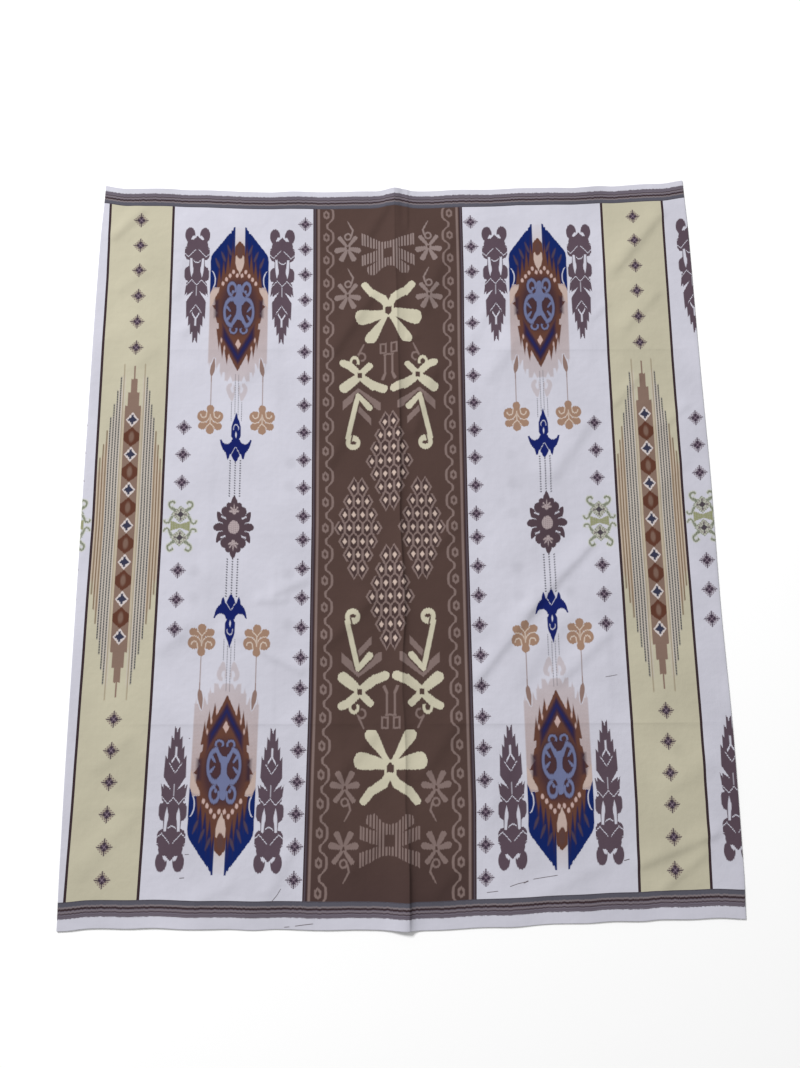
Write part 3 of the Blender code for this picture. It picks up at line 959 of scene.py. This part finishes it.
def heart(q):
    """Scrollwork inside the medallion: a vase with horns above, two long arms and hooked feet."""
    vase = upright(q.x, q.y,
                   ((372, 6.4), (380, 5.8), (390, 4.2), (398, 4.6), (404, 9), (411, 12.6), (417, 6.6),
                    (425, 4.4), (434, 4.8), (438, 2.4)))
    horn = ring(q, (12.8, 429), (6.8, 11.4), 1.9) & -slab(q, (7.6, 419), (3.2, 4.4), 30)
    curl = disc(q, (10.8, 424), (2.4, 3))
    arm = ring(q, (12.6, 386), (12.6, 24.6), 2.1) & 10.5 - q.x
    thorn = blade(q, (21.6, 396), -128, 12, (0, 2.4), (0.5, 1.8), (1, 0.4))
    barb = blade(q, (20.4, 371), 124, 12, (0, 2.4), (0.5, 2), (1, 0.6))
    toe = disc(q, (17, 362.6), (3, 3))
    leg = blade(q, (3, 379), -62, 24, (0, 3.8), (0.6, 2.6), (1, 1.8))
    hook = ring(q, (9, 353), (5.6, 6.2), 1.6) & q.y - 356
    return vase | horn | curl | arm | thorn | barb | toe | leg | hook


def medallions(p):
    """Winged medallion: navy wings, an arch of beads, a scrolled heart and a toothed, shadowed foot."""
    q = p.folded()
    a = q.x
    y = q.y
    foot = abs(a - 11.8) - (267 - y) * 0.42
    shadow = (a - 51.2 & abs(y - 361) - 71 | each(tooth, q, *PALE_TEETH)
              | a - 21.5 & 257.6 - y & y - 330 & -foot | a - 30.5 & abs(y - 320) - 47)
    fade = profile(y, ((256, 0.5), (300, 0.64), (350, 0.74), (430, 0.95)))
    dots = sine((p.x + y) * 1.5) * sine((p.x - y) * 1.5)
    thorn = abs(y - 421 - (a - 40) * -1.1) - (a - 28) * 0.7 & abs(a - 39) - 12 & abs(y - 411) - 18
    string = a - 3.4 & 2.2 - a & abs(y - 258) - 12
    stem = abs(a - 44.5) - 0.8 & abs(y - 258) - 16
    feather = blade(q, (44.8, 266), 98, 34, (0, 0.5), (0.4, 4), (0.75, 2.4), (1, 0.2))
    colour = dyed(
        DYE["white"], (2, "peach_shade", shadow, fade * (dots * 0.4 + 0.92)), (1.6, "peach", thorn),
        (1, "string", string, 0.5), (1.2, "white", feather - 1.4), (1.2, "umber", stem | feather))

    plate_inner = profile(y, PLATE_INNER, smooth=True)
    plate = plate_inner - a & a - 51.6 & abs(y - 442) - 23
    wings = upright(a, y, WING_HALF) & 8.6 - a & (a - plate_inner + 1.8 | 463 - y) & 424 - y
    navy = cover(wings | plate, 1.2)
    colour = paint(colour, navy, DYE["navy"])
    peaks = each(tooth, q, *PEAKS)
    flames = [blade(q, place, 70, 22, (0, 0.3), (0.4, 2.2), (0.7, 1.6), (1, 0.2)) for place in FLAMES]
    colour = dyed(
        colour, (5, "dusk", peaks - 1.6, navy * 0.8), (2, "rust", peaks, navy),
        *[(2.2, "umber_dark", flame, 0.8) for flame in flames])

    column = a - 8 & abs(y - 512) - 35
    faded = profile(y, ((470, 1), (508, 0.8), (524, 0.3), (547, 0.1)))
    shield = upright(a, y, SHIELD_HALF) | each(tooth, q, *TEETH)
    teardrop = disc(q, (0, 502), (6.4, 15))
    band = abs(y - 300 - a * 1.8) * 0.6 - 7 & a - 27.5
    spots = lozenge(q, (0, 326), (5, 9.6)) | union(disc(q, place, (1.4, 4.2)) for place in CUFFS)
    scrollwork = heart(q)
    return dyed(
        colour, (1.4, "peach", column, faded), (1.4, "rust", shield),
        (3, "umber_dark", teardrop + 1.6, 0.4), (1.2, "peach", upright(a, y, FUNNEL_HALF) & -teardrop),
        (6, "dusk", slab(q, (39, 392), (3.4, 16)), 0.9), (12, "dusk", disc(q, (0, 396), (33, 50)), 0.66),
        (5, "navy_dusk", band, 0.86), (4, "navy", band + 5, 0.7), (1.4, "bead", spots),
        (2, "dusk", scrollwork - 1.5, 0.5), (1.4, "slate", scrollwork),
        (1.2, "bead", union(disc(q, place, (2.5, 4)) for place in BEADS)))


RING_SPACING = 44.2
# Along from a ring, and where the wavy line runs there.
WAVE = ((0, 96.2), (8, 96.8), (14, 101.5), (17.5, 106.2), (22.1, 107.2))


def kepala_sides(p):
    """The brown ground with a wavy line and rings along both sides, and the lines outside it."""
    a = abs(p.x)
    ahead = abs(wrapped(p.y, RING_SPACING / 2, -RING_SPACING / 2))
    wave = abs(a - profile(ahead, WAVE)) - 2
    out = abs(a - 108.4)
    rings = out - 5.4 & (out * 0.78 + ahead - 8.8) * 0.8 & (4.8 - ahead - out * 1.7) * 0.5
    # The ground grows darker towards the bottom end of the cloth.
    ground = dyed(DYE["brown"], (160, "edge", p.y + 560, 0.5))
    return dyed(
        ground, (1.4, "taupe", wave | rings | abs(a - 121.8) - 2), (1.2, "edge", 125.4 - a),
        (1.2, "mauve", abs(a - 128.6) - 1, 0.4))


def corner_flower(p):
    """Flower of six petals round a square joint, with a curl above it."""
    q = p.mirrored()
    joint = slab(q, (0, 0), (5.6, 6)) & -slab(q, (0, 0), (2.4, 3))
    return (joint
            | each(blade, q, ((2.6, 5), 52, 24, (0, 2), (0.5, 3.6), (0.9, 4.2), (1, 2)),
                   ((2, -1), -12, 24, (0, 2), (0.4, 4.6), (0.8, 5.6), (1, 2)),
                   ((2, -5), -62, 25, (0, 1.8), (0.55, 4.6), (0.88, 5.2), (1, 1.8)))
            | ring(p, (0.6, 24), (5.8, 6.2), 1.6)
            | each(blade, p, ((7.4, 25), 76, 14, (0, 1.7), (1, 1.6)),
                   ((10.4, 37), 118, 22, (0, 1.7), (0.6, 1.3), (1, 0.4))))


# Across, and the half height of the hatched bow above and below its middle.
BOW_FAR = ((0, 22), (11, 23), (24, 30), (36, 36), (48, 42))
BOW_NEAR = ((0, 24), (10, 27), (19, 35), (22, 40), (34.6, 38), (38.2, 26), (48, 25.6))


def cream_form(under, shape):
    """A cream form with a brown line round it."""
    return dyed(under, (2, "brown", shape - 2.4), (1.2, "cream", shape))


def hatched_bow(p):
    """How much upright hatching covers: a bow-shaped field with a dark eye, and two gaps at each side."""
    a = abs(p.x)
    outer = p.y - profile(a, BOW_FAR) & -p.y - profile(a, BOW_NEAR) & a - 48
    wedge = abs(p.y - 8.4) - (a - 16.5) * 0.34
    lower_wedge = abs(p.y + 14.6 + (a - 22) * 0.48) - (a - 17) * 0.15 & 20 - a
    field = outer & -(a - 8 & abs(p.y) - 9) & -wedge & -lower_wedge
    return cover(field, 1.2) * less(wrapped(p.x + 1.5, 5), 3)


def great_flower(q):
    """Large flower round a dark square: two arms above, two side petals and two below."""
    square = slab(q, (0, 1), (5.6, 5)) | lozenge(q, (0, -4), (6, 6))
    petals = (slab(q, (0, -1), (9.4, 12.6))
              | each(blade, q, ((3, 10), 62, 18, (0, 5.4), (1, 6.6)),
                     ((8, 21), 34, 26, (0, 7.6), (0.5, 7.2), (1, 6.4)),
                     ((27, 31), 53, 29, (0, 6.6), (0.6, 6.4), (0.92, 5.4), (1, 2.4)),
                     ((3, -5), -9, 55, (0, 6), (0.3, 9.2), (0.6, 12.4), (0.8, 13.4), (0.91, 11.6),
                      (0.97, 7.4), (1, 1)),
                     ((2, -7), -57, 63, (0, 3), (0.3, 5.2), (0.6, 8.4), (0.82, 10), (0.93, 8.4),
                      (0.98, 5), (1, 1))))
    return petals & -square


def kepala_flowers(p):
    """Far part of the brown panel: corner flowers, a hatched bow and the large flower."""
    q = p.folded()
    colour = kepala_sides(p)
    flowers = union(corner_flower(Point(71 - q.x, q.y - y).local((0, 0), 0, (0.9, 0.92)))
                    for y in (509, 417.5))
    # The taupe is paler towards the top end of the cloth.
    taupe = dyed(DYE["taupe"], (200, "taupe_pale", 380 - p.y))
    colour = paint(colour, cover(flowers, 1.4), taupe)
    colour = paint(colour, hatched_bow(q.local((0, 496))), taupe)
    return cream_form(colour, great_flower(q.local((0, 387.5))))


def keys(q):
    """Two square rings on stalks that flare at the foot, joined by a bar."""
    return (abs(slab(q, (9.4, 316.5), (4.6, 8.2))) - 1.5
            | each(slab, q, ((0, 304.5), (9, 1.5)), ((6.4, 287.5), (1.7, 18)))
            | blade(q, (5.6, 271.5), -66, 14, (0, 1.8), (1, 2.6)))


def cross_flower(p):
    """Cross of four unequal arms round a square eye, with a hook; x runs towards the panel's side."""
    hook = ring(p, (9, 24), (6.4, 8.6), 2.2) & 20 - p.y
    arms = (slab(p, (0, 0), (9, 9.4)) | hook
            | each(blade, p, ((4, 5), 42, 20, (0, 5.4), (1, 6.6)),
                   ((16, 17), 24, 20, (0, 6.8), (0.7, 6.4), (1, 2.8)),
                   ((-4, 5), 136, 23, (0, 5.4), (0.6, 5.8), (0.9, 5.4), (1, 2.6)),
                   ((3, -4), -38, 38, (0, 5.6), (0.4, 8.4), (0.8, 8.8), (1, 3.4)),
                   ((-3, -4), -143, 30, (0, 5.6), (1, 7.6)),
                   ((-22, -18), -157, 27, (0, 7.4), (0.8, 7.2), (1, 2.6))))
    return arms & -slab(p, (0, 0), (3.8, 4.6))


def chevron(p, at, out_run, in_run, half, slope_out, slope_in):
    """Bent band with its apex at a point: it drops by the slopes towards the side and the middle."""
    q = p.local(at)
    drop = (q.x * -slope_out | q.x * slope_in) - q.y
    return abs(drop) - half & q.x - out_run & -in_run - q.x


def cane(p):
    """Walking-cane scroll that hangs below a cross."""
    hook = (disc(p, (10.8, -120.8), (12.3, 12.9)) & -disc(p, (10.4, -121.4), (5.2, 3))
            & -slab(p, (12.8, -112.6), (1.2, 7), 13))
    return hook | each(blade, p, ((2, -36), -77, 80, (0, 3.2), (0.2, 4.2), (1, 3.9)),
                       ((4, -34), -131, 37, (0, 3.2), (0.5, 4.6), (0.86, 5.4), (1, 2.6)))


def paint_cane(under, q):
    """The cane over its taupe chevron."""
    colour = dyed(under, (1.4, "taupe", chevron(q, (54, 209.5), 8, 23, 6.4, 2.2, 1.05)))
    return cream_form(colour, cane(q.local((51, 268.5))))


def kepala_crosses(p):
    """Next part of the brown panel: keys, curls and crosses over chevrons."""
    q = p.folded()
    colour = kepala_sides(p)
    pale = (keys(q) | ring(q, (47, 302.5), (6.6, 7), 1.6)
            | blade(q, (53.6, 303.5), 116, 25, (0, 1.7), (1, 1.1))
            | chevron(q, (52.5, 237.5), 27, 38, 8, 0.88, 0.72))
    colour = dyed(colour, (1.4, "taupe", pale))
    return cream_form(paint_cane(colour, q), cross_flower(q.local((50, 268.5))))


CELL_HALF = 7.45                 # half the width of a lattice cell
CELL_TIP = 15                    # from a cell's middle to its tip
CELL_SLOPE = 0.97
CELL_ROW = 22.7                  # between rows of cells
LATTICES = ((0, 115), (53.5, 0))


def paint_lattice(under, p):
    """Lozenge of six-sided cells in rows of two to five, each with a pip."""
    row = clamped(nearest(p.y / CELL_ROW), -3, 3)
    y = abs(p.y - row * CELL_ROW)
    reach = (4 - abs(row)) * CELL_HALF
    slot = nearest((p.x + reach) / (2 * CELL_HALF)) * (2 * CELL_HALF) - reach
    slot = clamped(slot, -reach, reach)
    x = abs(p.x - slot)
    outside = more((p.x - slot) * slot, 0) * more(abs(slot), reach - 1)
    beyond = more(p.y * row, CELL_ROW * 9)
    cell = (x - CELL_HALF + outside * (y * 0.6 - 1.8)
            & x * CELL_SLOPE + y - CELL_TIP + beyond * (x * 0.6 - 4))
    return dyed(
        under, (1, "edge", cell, 0.5), (1.2, "taupe", abs(cell + 0.2) - 1.8),
        (1.8, "pip", lozenge(Point(x, y), (0, 0), (3.9, 5.6))))


def kepala_lattices(p):
    """Middle of the brown panel: canes and four lozenges of cells."""
    q = p.folded()
    colour = paint_cane(kepala_sides(p), q)
    for place in LATTICES:
        colour = paint_lattice(colour, q.local(place))
    return colour


def strip_edges(colour, a):
    """The dark lines between a strip and the white panels."""
    return dyed(colour, (0.9, "edge", abs(a - 57.2) - 2.6), (0.9, "white", 59.7 - a))


def strip_stars(p):
    """Far part of a cream strip."""
    colour = paint_star(DYE["cream_ground"], p.x, repeated(abs(p.y), 316, 48.3, 6))
    return strip_edges(colour, abs(p.x))


STRIPE_FIRST = 17.6              # middle of the innermost stripe beside the spindle
STRIPE_STEP = 4.75
STRIPE_RANKS = 8
STRIPE_REACH = 286               # the innermost stripes end this far from mid-length
STRIPE_DROP = 24.3               # and each rank after them is this much shorter
BEAD_STEP = 61.6
STEPS = ((13.6, 210), (9.7, 234.5), (5.5, 258.5), (1.3, 282))    # half widths, and their ends


def spindle(p):
    """Middle of a cream strip: a stepped spindle of beads between ranks of stripes."""
    a = abs(p.x)
    b = abs(p.y)
    rank = clamped(nearest((a - STRIPE_FIRST) / STRIPE_STEP), 0, STRIPE_RANKS - 1)
    across = abs(a - STRIPE_FIRST - rank * STRIPE_STEP)
    beside = cover(STRIPE_FIRST - STRIPE_STEP / 2 - a, 0.6)
    end = rank * -STRIPE_DROP + STRIPE_REACH
    line = beside * cover(b - end, 2) * cover(across - 1.15, 1)
    pale = beside * cover(b - end + 22, 10)
    outer = more(rank, 4.5)
    first = less(rank, 0.5)
    dashes = less(wrapped(b + rank * 2.3, 4.4), 2.8)
    inner = (1 - outer) * (1 - first)
    colour = dyed(DYE["cream_ground"], (0.8, "lilac", 1.1 - across, pale * 0.62))
    for mask, name in ((pale * outer * 0.45, "sand"), (line * inner * (0.62 + 0.38 * dashes), "storm"),
                       (line * first * 0.55, "sand_dark"), (line * outer * 0.85, "stripe")):
        colour = paint(colour, mask, DYE[name])
    steps = union(a - half & b - reach for half, reach in STEPS)
    bead = abs(repeated(b, BEAD_STEP / 2, BEAD_STEP, 3))
    gem = Point(a, abs(repeated(b, 0, BEAD_STEP, 4)))
    dark_gem = lozenge(gem, (0, 0), (8.6, 6.6)) | a - 1.9 & gem.y - 8.6
    colour = dyed(
        colour, (0.9, "sand", abs(a - 15) - 0.7, cover(b - 205, 8) * 0.6), (1, "spindle", steps),
        (1.4, "rust_bead", a * 0.62 + bead * 0.72 - 12.6 & a - 13.4),
        (2.6, "spindle", disc(Point(a, bead), (0, 0), (4.2, 8.8)), 0.7),
        (1.2, "gem", lozenge(gem, (0, 0), (11, 13.4))), (1.4, "gem_dark", dark_gem))
    return strip_edges(colour, a)


# Stripes across both ends: distance along from mid-length, half width, strength, dye.
END_STRIPES = (
    (598, 12.1, 1, "mauve"), (588.4, 4.8, 1, "slate_grey"), (586.6, 0.7, 0.5, "edge"),
    (594.5, 1.3, 0.8, "clay"), (597.3, 1.6, 1, "edge"), (601.2, 0.8, 0.7, "clay"),
    (603.3, 0.8, 0.9, "edge"), (606.9, 0.7, 0.4, "edge"), (609.6, 0.6, 0.6, "edge"),
)


def border(p):
    """The striped bands across both ends, then the white selvedge."""
    b = abs(p.y)
    colour = DYE["white"]
    for middle, half, strength, name in END_STRIPES:
        colour = dyed(colour, (0.9, name, abs(b - middle) - half, strength))
    return colour


# Dyes, as they look in even light.
SRGB = dict(
    white=(217, 216, 228), cream_ground=(204, 198, 175), brown=(89, 70, 65), taupe=(138, 119, 115),
    taupe_pale=(150, 133, 130), edge=(64, 50, 54), cream=(213, 207, 184), pip=(214, 192, 180),
    star=(58, 44, 62), star_heart=(170, 150, 166), star_fringe=(98, 66, 82), purple=(97, 81, 92),
    plum=(88, 72, 80), blush=(188, 172, 174), sage=(118, 124, 106), sage_pale=(196, 200, 164),
    olive=(150, 152, 106), royal=(27, 38, 106), navy=(24, 42, 104), navy_dusk=(44, 38, 72),
    rust=(106, 70, 58), rust_bead=(102, 64, 51), umber=(150, 124, 116), umber_dark=(92, 74, 80),
    dusk=(62, 46, 60), slate=(118, 125, 162), bead=(206, 178, 172), peach=(204, 182, 173),
    peach_shade=(180, 156, 150), tan=(168, 136, 116), tan_line=(222, 206, 194), string=(84, 82, 92),
    lilac=(212, 200, 198), storm=(82, 81, 88), sand=(196, 170, 138), sand_dark=(146, 126, 102),
    stripe=(118, 92, 72), spindle=(142, 118, 106), gem=(222, 212, 210), gem_dark=(62, 63, 84),
    slate_grey=(96, 95, 106), mauve=(122, 114, 126), clay=(138, 128, 130),
    stitches=(208, 206, 212), loose_thread=(112, 102, 108),
)
LIGHT = 1.34                     # of the studio on the middle of the cloth, where 1 shows a dye as named


def linear(value):
    """An sRGB channel of 0 to 255 as linear light."""
    value /= 255.0
    return value / 12.92 if value <= 0.04045 else ((value + 0.055) / 1.055) ** 2.4


DYE = {name: (*(linear(value) / LIGHT for value in channels), 1.0) for name, channels in SRGB.items()}

BUNDLE = 1.05                    # width of a bundle of warp threads that takes the dye together, in mm
SLIP = 1.7                       # how far a bundle slips along, in mm
WEAVE_PITCH = 0.9                # of the plain weave, in mm
WEAVE_HEIGHT = 0.00002
CRUMPLE_SCALE = 70.0             # fine crumples: how many to the metre
CRUMPLE_HEIGHT = 0.0006
CLOUD_SCALE = 9.0                # uneven tone: patches to the metre
CLOUD_TONE = 0.28                # and how much the cloth's tone varies with them
DETAIL = 3.0                     # how detailed the noise of both is
THREAD_SCALE = 900.0             # streaks along single threads, with a detail of 1: how many to the metre
WARP_TONE = 0.045
WEFT_TONE = 0.035
THROUGH_TONE = 1.5               # how much darker the cloth is where the attribute show_through is 1


def shader(name):
    """A new material: its node tree and its Principled node."""
    material = bpy.data.materials.new(name)
    material.use_nodes = True
    return material, material.node_tree, material.node_tree.nodes["Principled BSDF"]


def noise(tree, vector, scale, detail, tone):
    """Uneven tone or height, centred on nought."""
    inputs = {"Vector": vector, "Scale": scale, "Detail": detail}
    return (Shade(added(tree, "TexNoise", inputs).outputs["Fac"]) - 0.5) * tone


def scaled(tree, vector, scale):
    return added(tree, "VectorMath", {0: vector, 1: scale}, operation="MULTIPLY").outputs["Vector"]


def split(tree, vector):
    """A vector's x and y."""
    node = added(tree, "SeparateXYZ", {0: vector})
    return Shade(node.outputs[0]), Shade(node.outputs[1])


def finish_cloth(tree, principled, colour):
    """Uneven tone, thread streaks, weave and fine crumples over a plain or patterned colour."""
    through = added(tree, "Attribute", {}, attribute_name="show_through").outputs["Fac"]
    place = added(tree, "TexCoord", {}).outputs["Object"]
    clouds = noise(tree, place, CLOUD_SCALE, DETAIL, CLOUD_TONE)
    warp = noise(tree, scaled(tree, place, (THREAD_SCALE, CLOUD_SCALE, 1.0)), 1.0, 1.0, WARP_TONE)
    weft = noise(tree, scaled(tree, place, (CLOUD_SCALE, THREAD_SCALE, 1.0)), 1.0, 1.0, WEFT_TONE)
    tone = clouds + warp + weft + 1.0 - Shade(through) * THROUGH_TONE
    shade = added(tree, "VectorMath", {0: colour, "Scale": tone}, operation="SCALE")
    feed(principled.inputs["Base Color"], shade.outputs["Vector"])

    x, y = split(tree, scaled(tree, place, (2000.0 * math.pi / WEAVE_PITCH,) * 3))
    weave = sine(x) * sine(y) * WEAVE_HEIGHT
    height = weave + noise(tree, place, CRUMPLE_SCALE, DETAIL, CRUMPLE_HEIGHT)
    bump = added(tree, "Bump", {"Distance": 1.0, "Strength": 1.0, "Height": height})
    feed(principled.inputs["Normal"], bump.outputs["Normal"])
    principled.inputs["Roughness"].default_value = 0.86
    principled.inputs["Specular IOR Level"].default_value = 0.02


def cloth_material(painter):
    """Patterned plain-weave cotton: the painter's pattern with bundles of thread that have slipped."""
    material, tree, principled = shader("cotton_" + painter.__name__)
    x, y = split(tree, added(tree, "UVMap", {}, uv_map="pattern").outputs["UV"])
    bundle = maths("FLOOR", x / BUNDLE)
    slipped = maths("MULTIPLY_ADD", scatter(bundle), SLIP, y - SLIP / 2.0)
    finish_cloth(tree, principled, painter(Point((bundle + 0.5) * BUNDLE, slipped)))
    return material


def plain_material(name, colour, roughness):
    material, _, principled = shader(name)
    principled.inputs["Base Color"].default_value = colour
    principled.inputs["Roughness"].default_value = roughness
    return material


PAINTERS = (kepala_flowers, kepala_crosses, kepala_lattices, medallions, trees, garden, scrolls, stars,
            strip_stars, spindle)
painted = {painter.__name__: cloth_material(painter) for painter in PAINTERS}
materials = [painted[row.painter] for row in ZONES] + [cloth_material(border)]

# --- the pieces ------------------------------------------------------------------------------------
front = sheet("front_cloth", front_grid(), -1.0, materials)
back_left = sheet("back_cloth_left", back_grid(-1), 1.0, materials)
back_right = sheet("back_cloth_right", back_grid(1), 1.0, materials)

BACKS = ("back_cloth_left", "back_cloth_right")
for piece, node, slot, flat, under in (
        (front, "front_layer", "patterned_cotton_front", (1.060, 1.2475), BACKS),
        (back_left, "back_layer_left", "patterned_cotton_back", (0.529, 1.2475), ()),
        (back_right, "back_layer_right", "patterned_cotton_back", (0.514, 1.2475), ())):
    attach(piece, "root")
    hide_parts(node)

# Where stars of the back show faintly through the front: x and y in millimetres, and strength.
SHOWING = (
    (198, -76, 0.060), (198, -122, 0.055), (283, -117, 0.040), (194, 117, 0.045), (196, 67, 0.060),
    (175, 34, 0.040), (194, 17, 0.045), (-336, -76, 0.055), (-336, -122, 0.050), (-180, -84, 0.060),
    (-180, -167, 0.050), (-180, 107, 0.060), (-180, 67, 0.055), (-348, -190, 0.040), (440, -370, 0.030),
    (-440, -420, 0.030),
)
SHOWING_HALF = 10.0              # their radius, in millimetres

x, y = 1000.0 * np.array([corner.co[:2] for corner in front.data.vertices]).T
faint = sum(strength * np.exp(-(np.hypot(x - at_x, y - at_y) / SHOWING_HALF) ** 4)
            for at_x, at_y, strength in SHOWING)
through = front.data.attributes.new("show_through", "FLOAT", "POINT")
through.data.foreach_set("value", faint.astype(np.float32))


def joined(name, boxes, material):
    """One mesh of many small boxes, each given by its middle, half sizes and turn about Z."""
    corners = [(a, b, c) for a in (-1, 1) for b in (-1, 1) for c in (-1, 1)]
    quads = ((0, 1, 3, 2), (4, 6, 7, 5), (0, 4, 5, 1), (2, 3, 7, 6), (0, 2, 6, 4), (1, 5, 7, 3))
    vertices = []
    faces = []
    for (x, y, z), (half_x, half_y, half_z), turn in boxes:
        faces += [[len(vertices) + i for i in quad] for quad in quads]
        for a, b, c in corners:
            dx = a * half_x
            dy = b * half_y
            vertices.append((x + dx * math.cos(turn) - dy * math.sin(turn),
                             y + dx * math.sin(turn) + dy * math.cos(turn), z + c * half_z))
    mesh = bpy.data.meshes.new(name)
    mesh.from_pydata(vertices, [], faces)
    mesh.materials.append(material)
    return placed(name, mesh)


STITCH_PITCH = 0.0026            # along the seam
STITCH_HALF = (0.00018, 0.0010, 0.00006)
STITCH_ROWS = (-0.0035, 0.0035)  # from the seam
STITCH_Z = 0.00014
STITCH_MARGIN = 0.006            # from the cloth's ends


def stitches():
    """Two rows of stitches on the back, along the seam."""
    count = int((V_TOP - V_BOTTOM - 2 * STITCH_MARGIN) / STITCH_PITCH)
    places = [V_BOTTOM + STITCH_MARGIN + (i + 0.5) * STITCH_PITCH for i in range(count)]
    boxes = [((float(seam_x(y)) + row, y, STITCH_Z), STITCH_HALF, 0.0)
             for row in STITCH_ROWS for y in places]
    return joined("seam_stitches", boxes, plain_material("sewing_thread", DYE["stitches"], 0.7))


# Loose threads on the front, in millimetres: half width, then the points each runs through.
LINT = (
    (0.35, (169, -570.5), (181, -566.5), (193, -564)), (0.7, (190, -565.5), (197, -562.5)),
    (0.35, (205, -560), (221, -557.5), (242, -554.5)), (0.35, (133, -579), (150, -577)),
    (0.3, (333, -254.5), (343, -253), (352, -251.5)), (0.55, (346, -534), (354, -532)),
    (0.35, (-198, -590), (-190, -581), (-184, -571.5)), (0.5, (-341, -555), (-334, -554.5)),
    (0.5, (-334.5, -345.5), (-333, -345)), (0.35, (-334, -520.5), (-328, -520)),
    (0.4, (-177.5, -626.5), (-170, -626)), (0.4, (-161, -625), (-149, -623.5), (-134, -622)),
)
LINT_STEP = 0.002                # the longest piece of a thread that is straight
LINT_REACH = 0.56                # half the length of its box, as a share of the piece: boxes overlap
LINT_HEIGHT = 0.00012            # half its height
LINT_CLEAR = 0.00018             # from the cloth up to its middle


def loose_threads():
    """The threads of LINT, as short overlapping boxes just above the cloth."""
    boxes = []
    for half, *points in LINT:
        points = [(x / 1000.0, y / 1000.0) for x, y in points]
        for (x0, y0), (x1, y1) in zip(points, points[1:]):
            run = math.hypot(x1 - x0, y1 - y0)
            count = math.ceil(run / LINT_STEP)
            size = (run / count * LINT_REACH, half / 1000.0, LINT_HEIGHT)
            for i in range(count):
                share = (i + 0.5) / count
                x = x0 + (x1 - x0) * share
                y = y0 + (y1 - y0) * share
                z = FRONT_TOP + float(front_lift(x, y)) + LINT_CLEAR
                boxes.append(((x, y, z), size, math.atan2(y1 - y0, x1 - x0)))
    return joined("loose_threads", boxes, plain_material("dark_thread", DYE["loose_thread"], 0.8))


for thread in (stitches(), loose_threads()):
    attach(thread, "root")

seam_cotton, *seam_nodes = shader("seam_cotton")
finish_cloth(*seam_nodes, DYE["white"][:3])
for seam_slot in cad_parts["joining_seam"].material_slots:
    seam_slot.material = seam_cotton

# --- floor, light and camera -----------------------------------------------------------------------
FLOOR_DROP = 0.0002              # below the frame's own ground

bpy.ops.mesh.primitive_plane_add(size=12.0, location=(0.0, 0.0, -FLOOR_DROP))
floor = bpy.context.active_object
floor.name = "floor"
floor.data.materials.append(plain_material("pale_floor", (0.95, 0.95, 0.95, 1.0), 0.9))

scene = bpy.context.scene
scene.view_settings.view_transform = "Standard"
world = bpy.data.worlds.new("studio")
world.use_nodes = True
background = world.node_tree.nodes["Background"]
background.inputs["Color"].default_value = (1.0, 1.0, 1.0, 1.0)
background.inputs["Strength"].default_value = 0.42
scene.world = world

key_data = bpy.data.lights.new("key", "AREA")
key_data.shape = "RECTANGLE"
key_data.size = 2.0
key_data.size_y = 2.0
key_data.energy = 640.0
key = placed("key", key_data)
key.location = (-3.5, 4.5, 4.9)
key.rotation_euler = (-key.location).to_track_quat("-Z", "Y").to_euler()

camera_data = bpy.data.cameras.new("camera")
camera_data.lens = 27.03
camera_data.sensor_width = 36.0
camera = placed("camera", camera_data)
camera.location = (0.0131, -0.2648, 1.3148)
camera.rotation_euler = [math.radians(angle) for angle in (10.664, 0.469, -0.512)]
scene.camera = camera
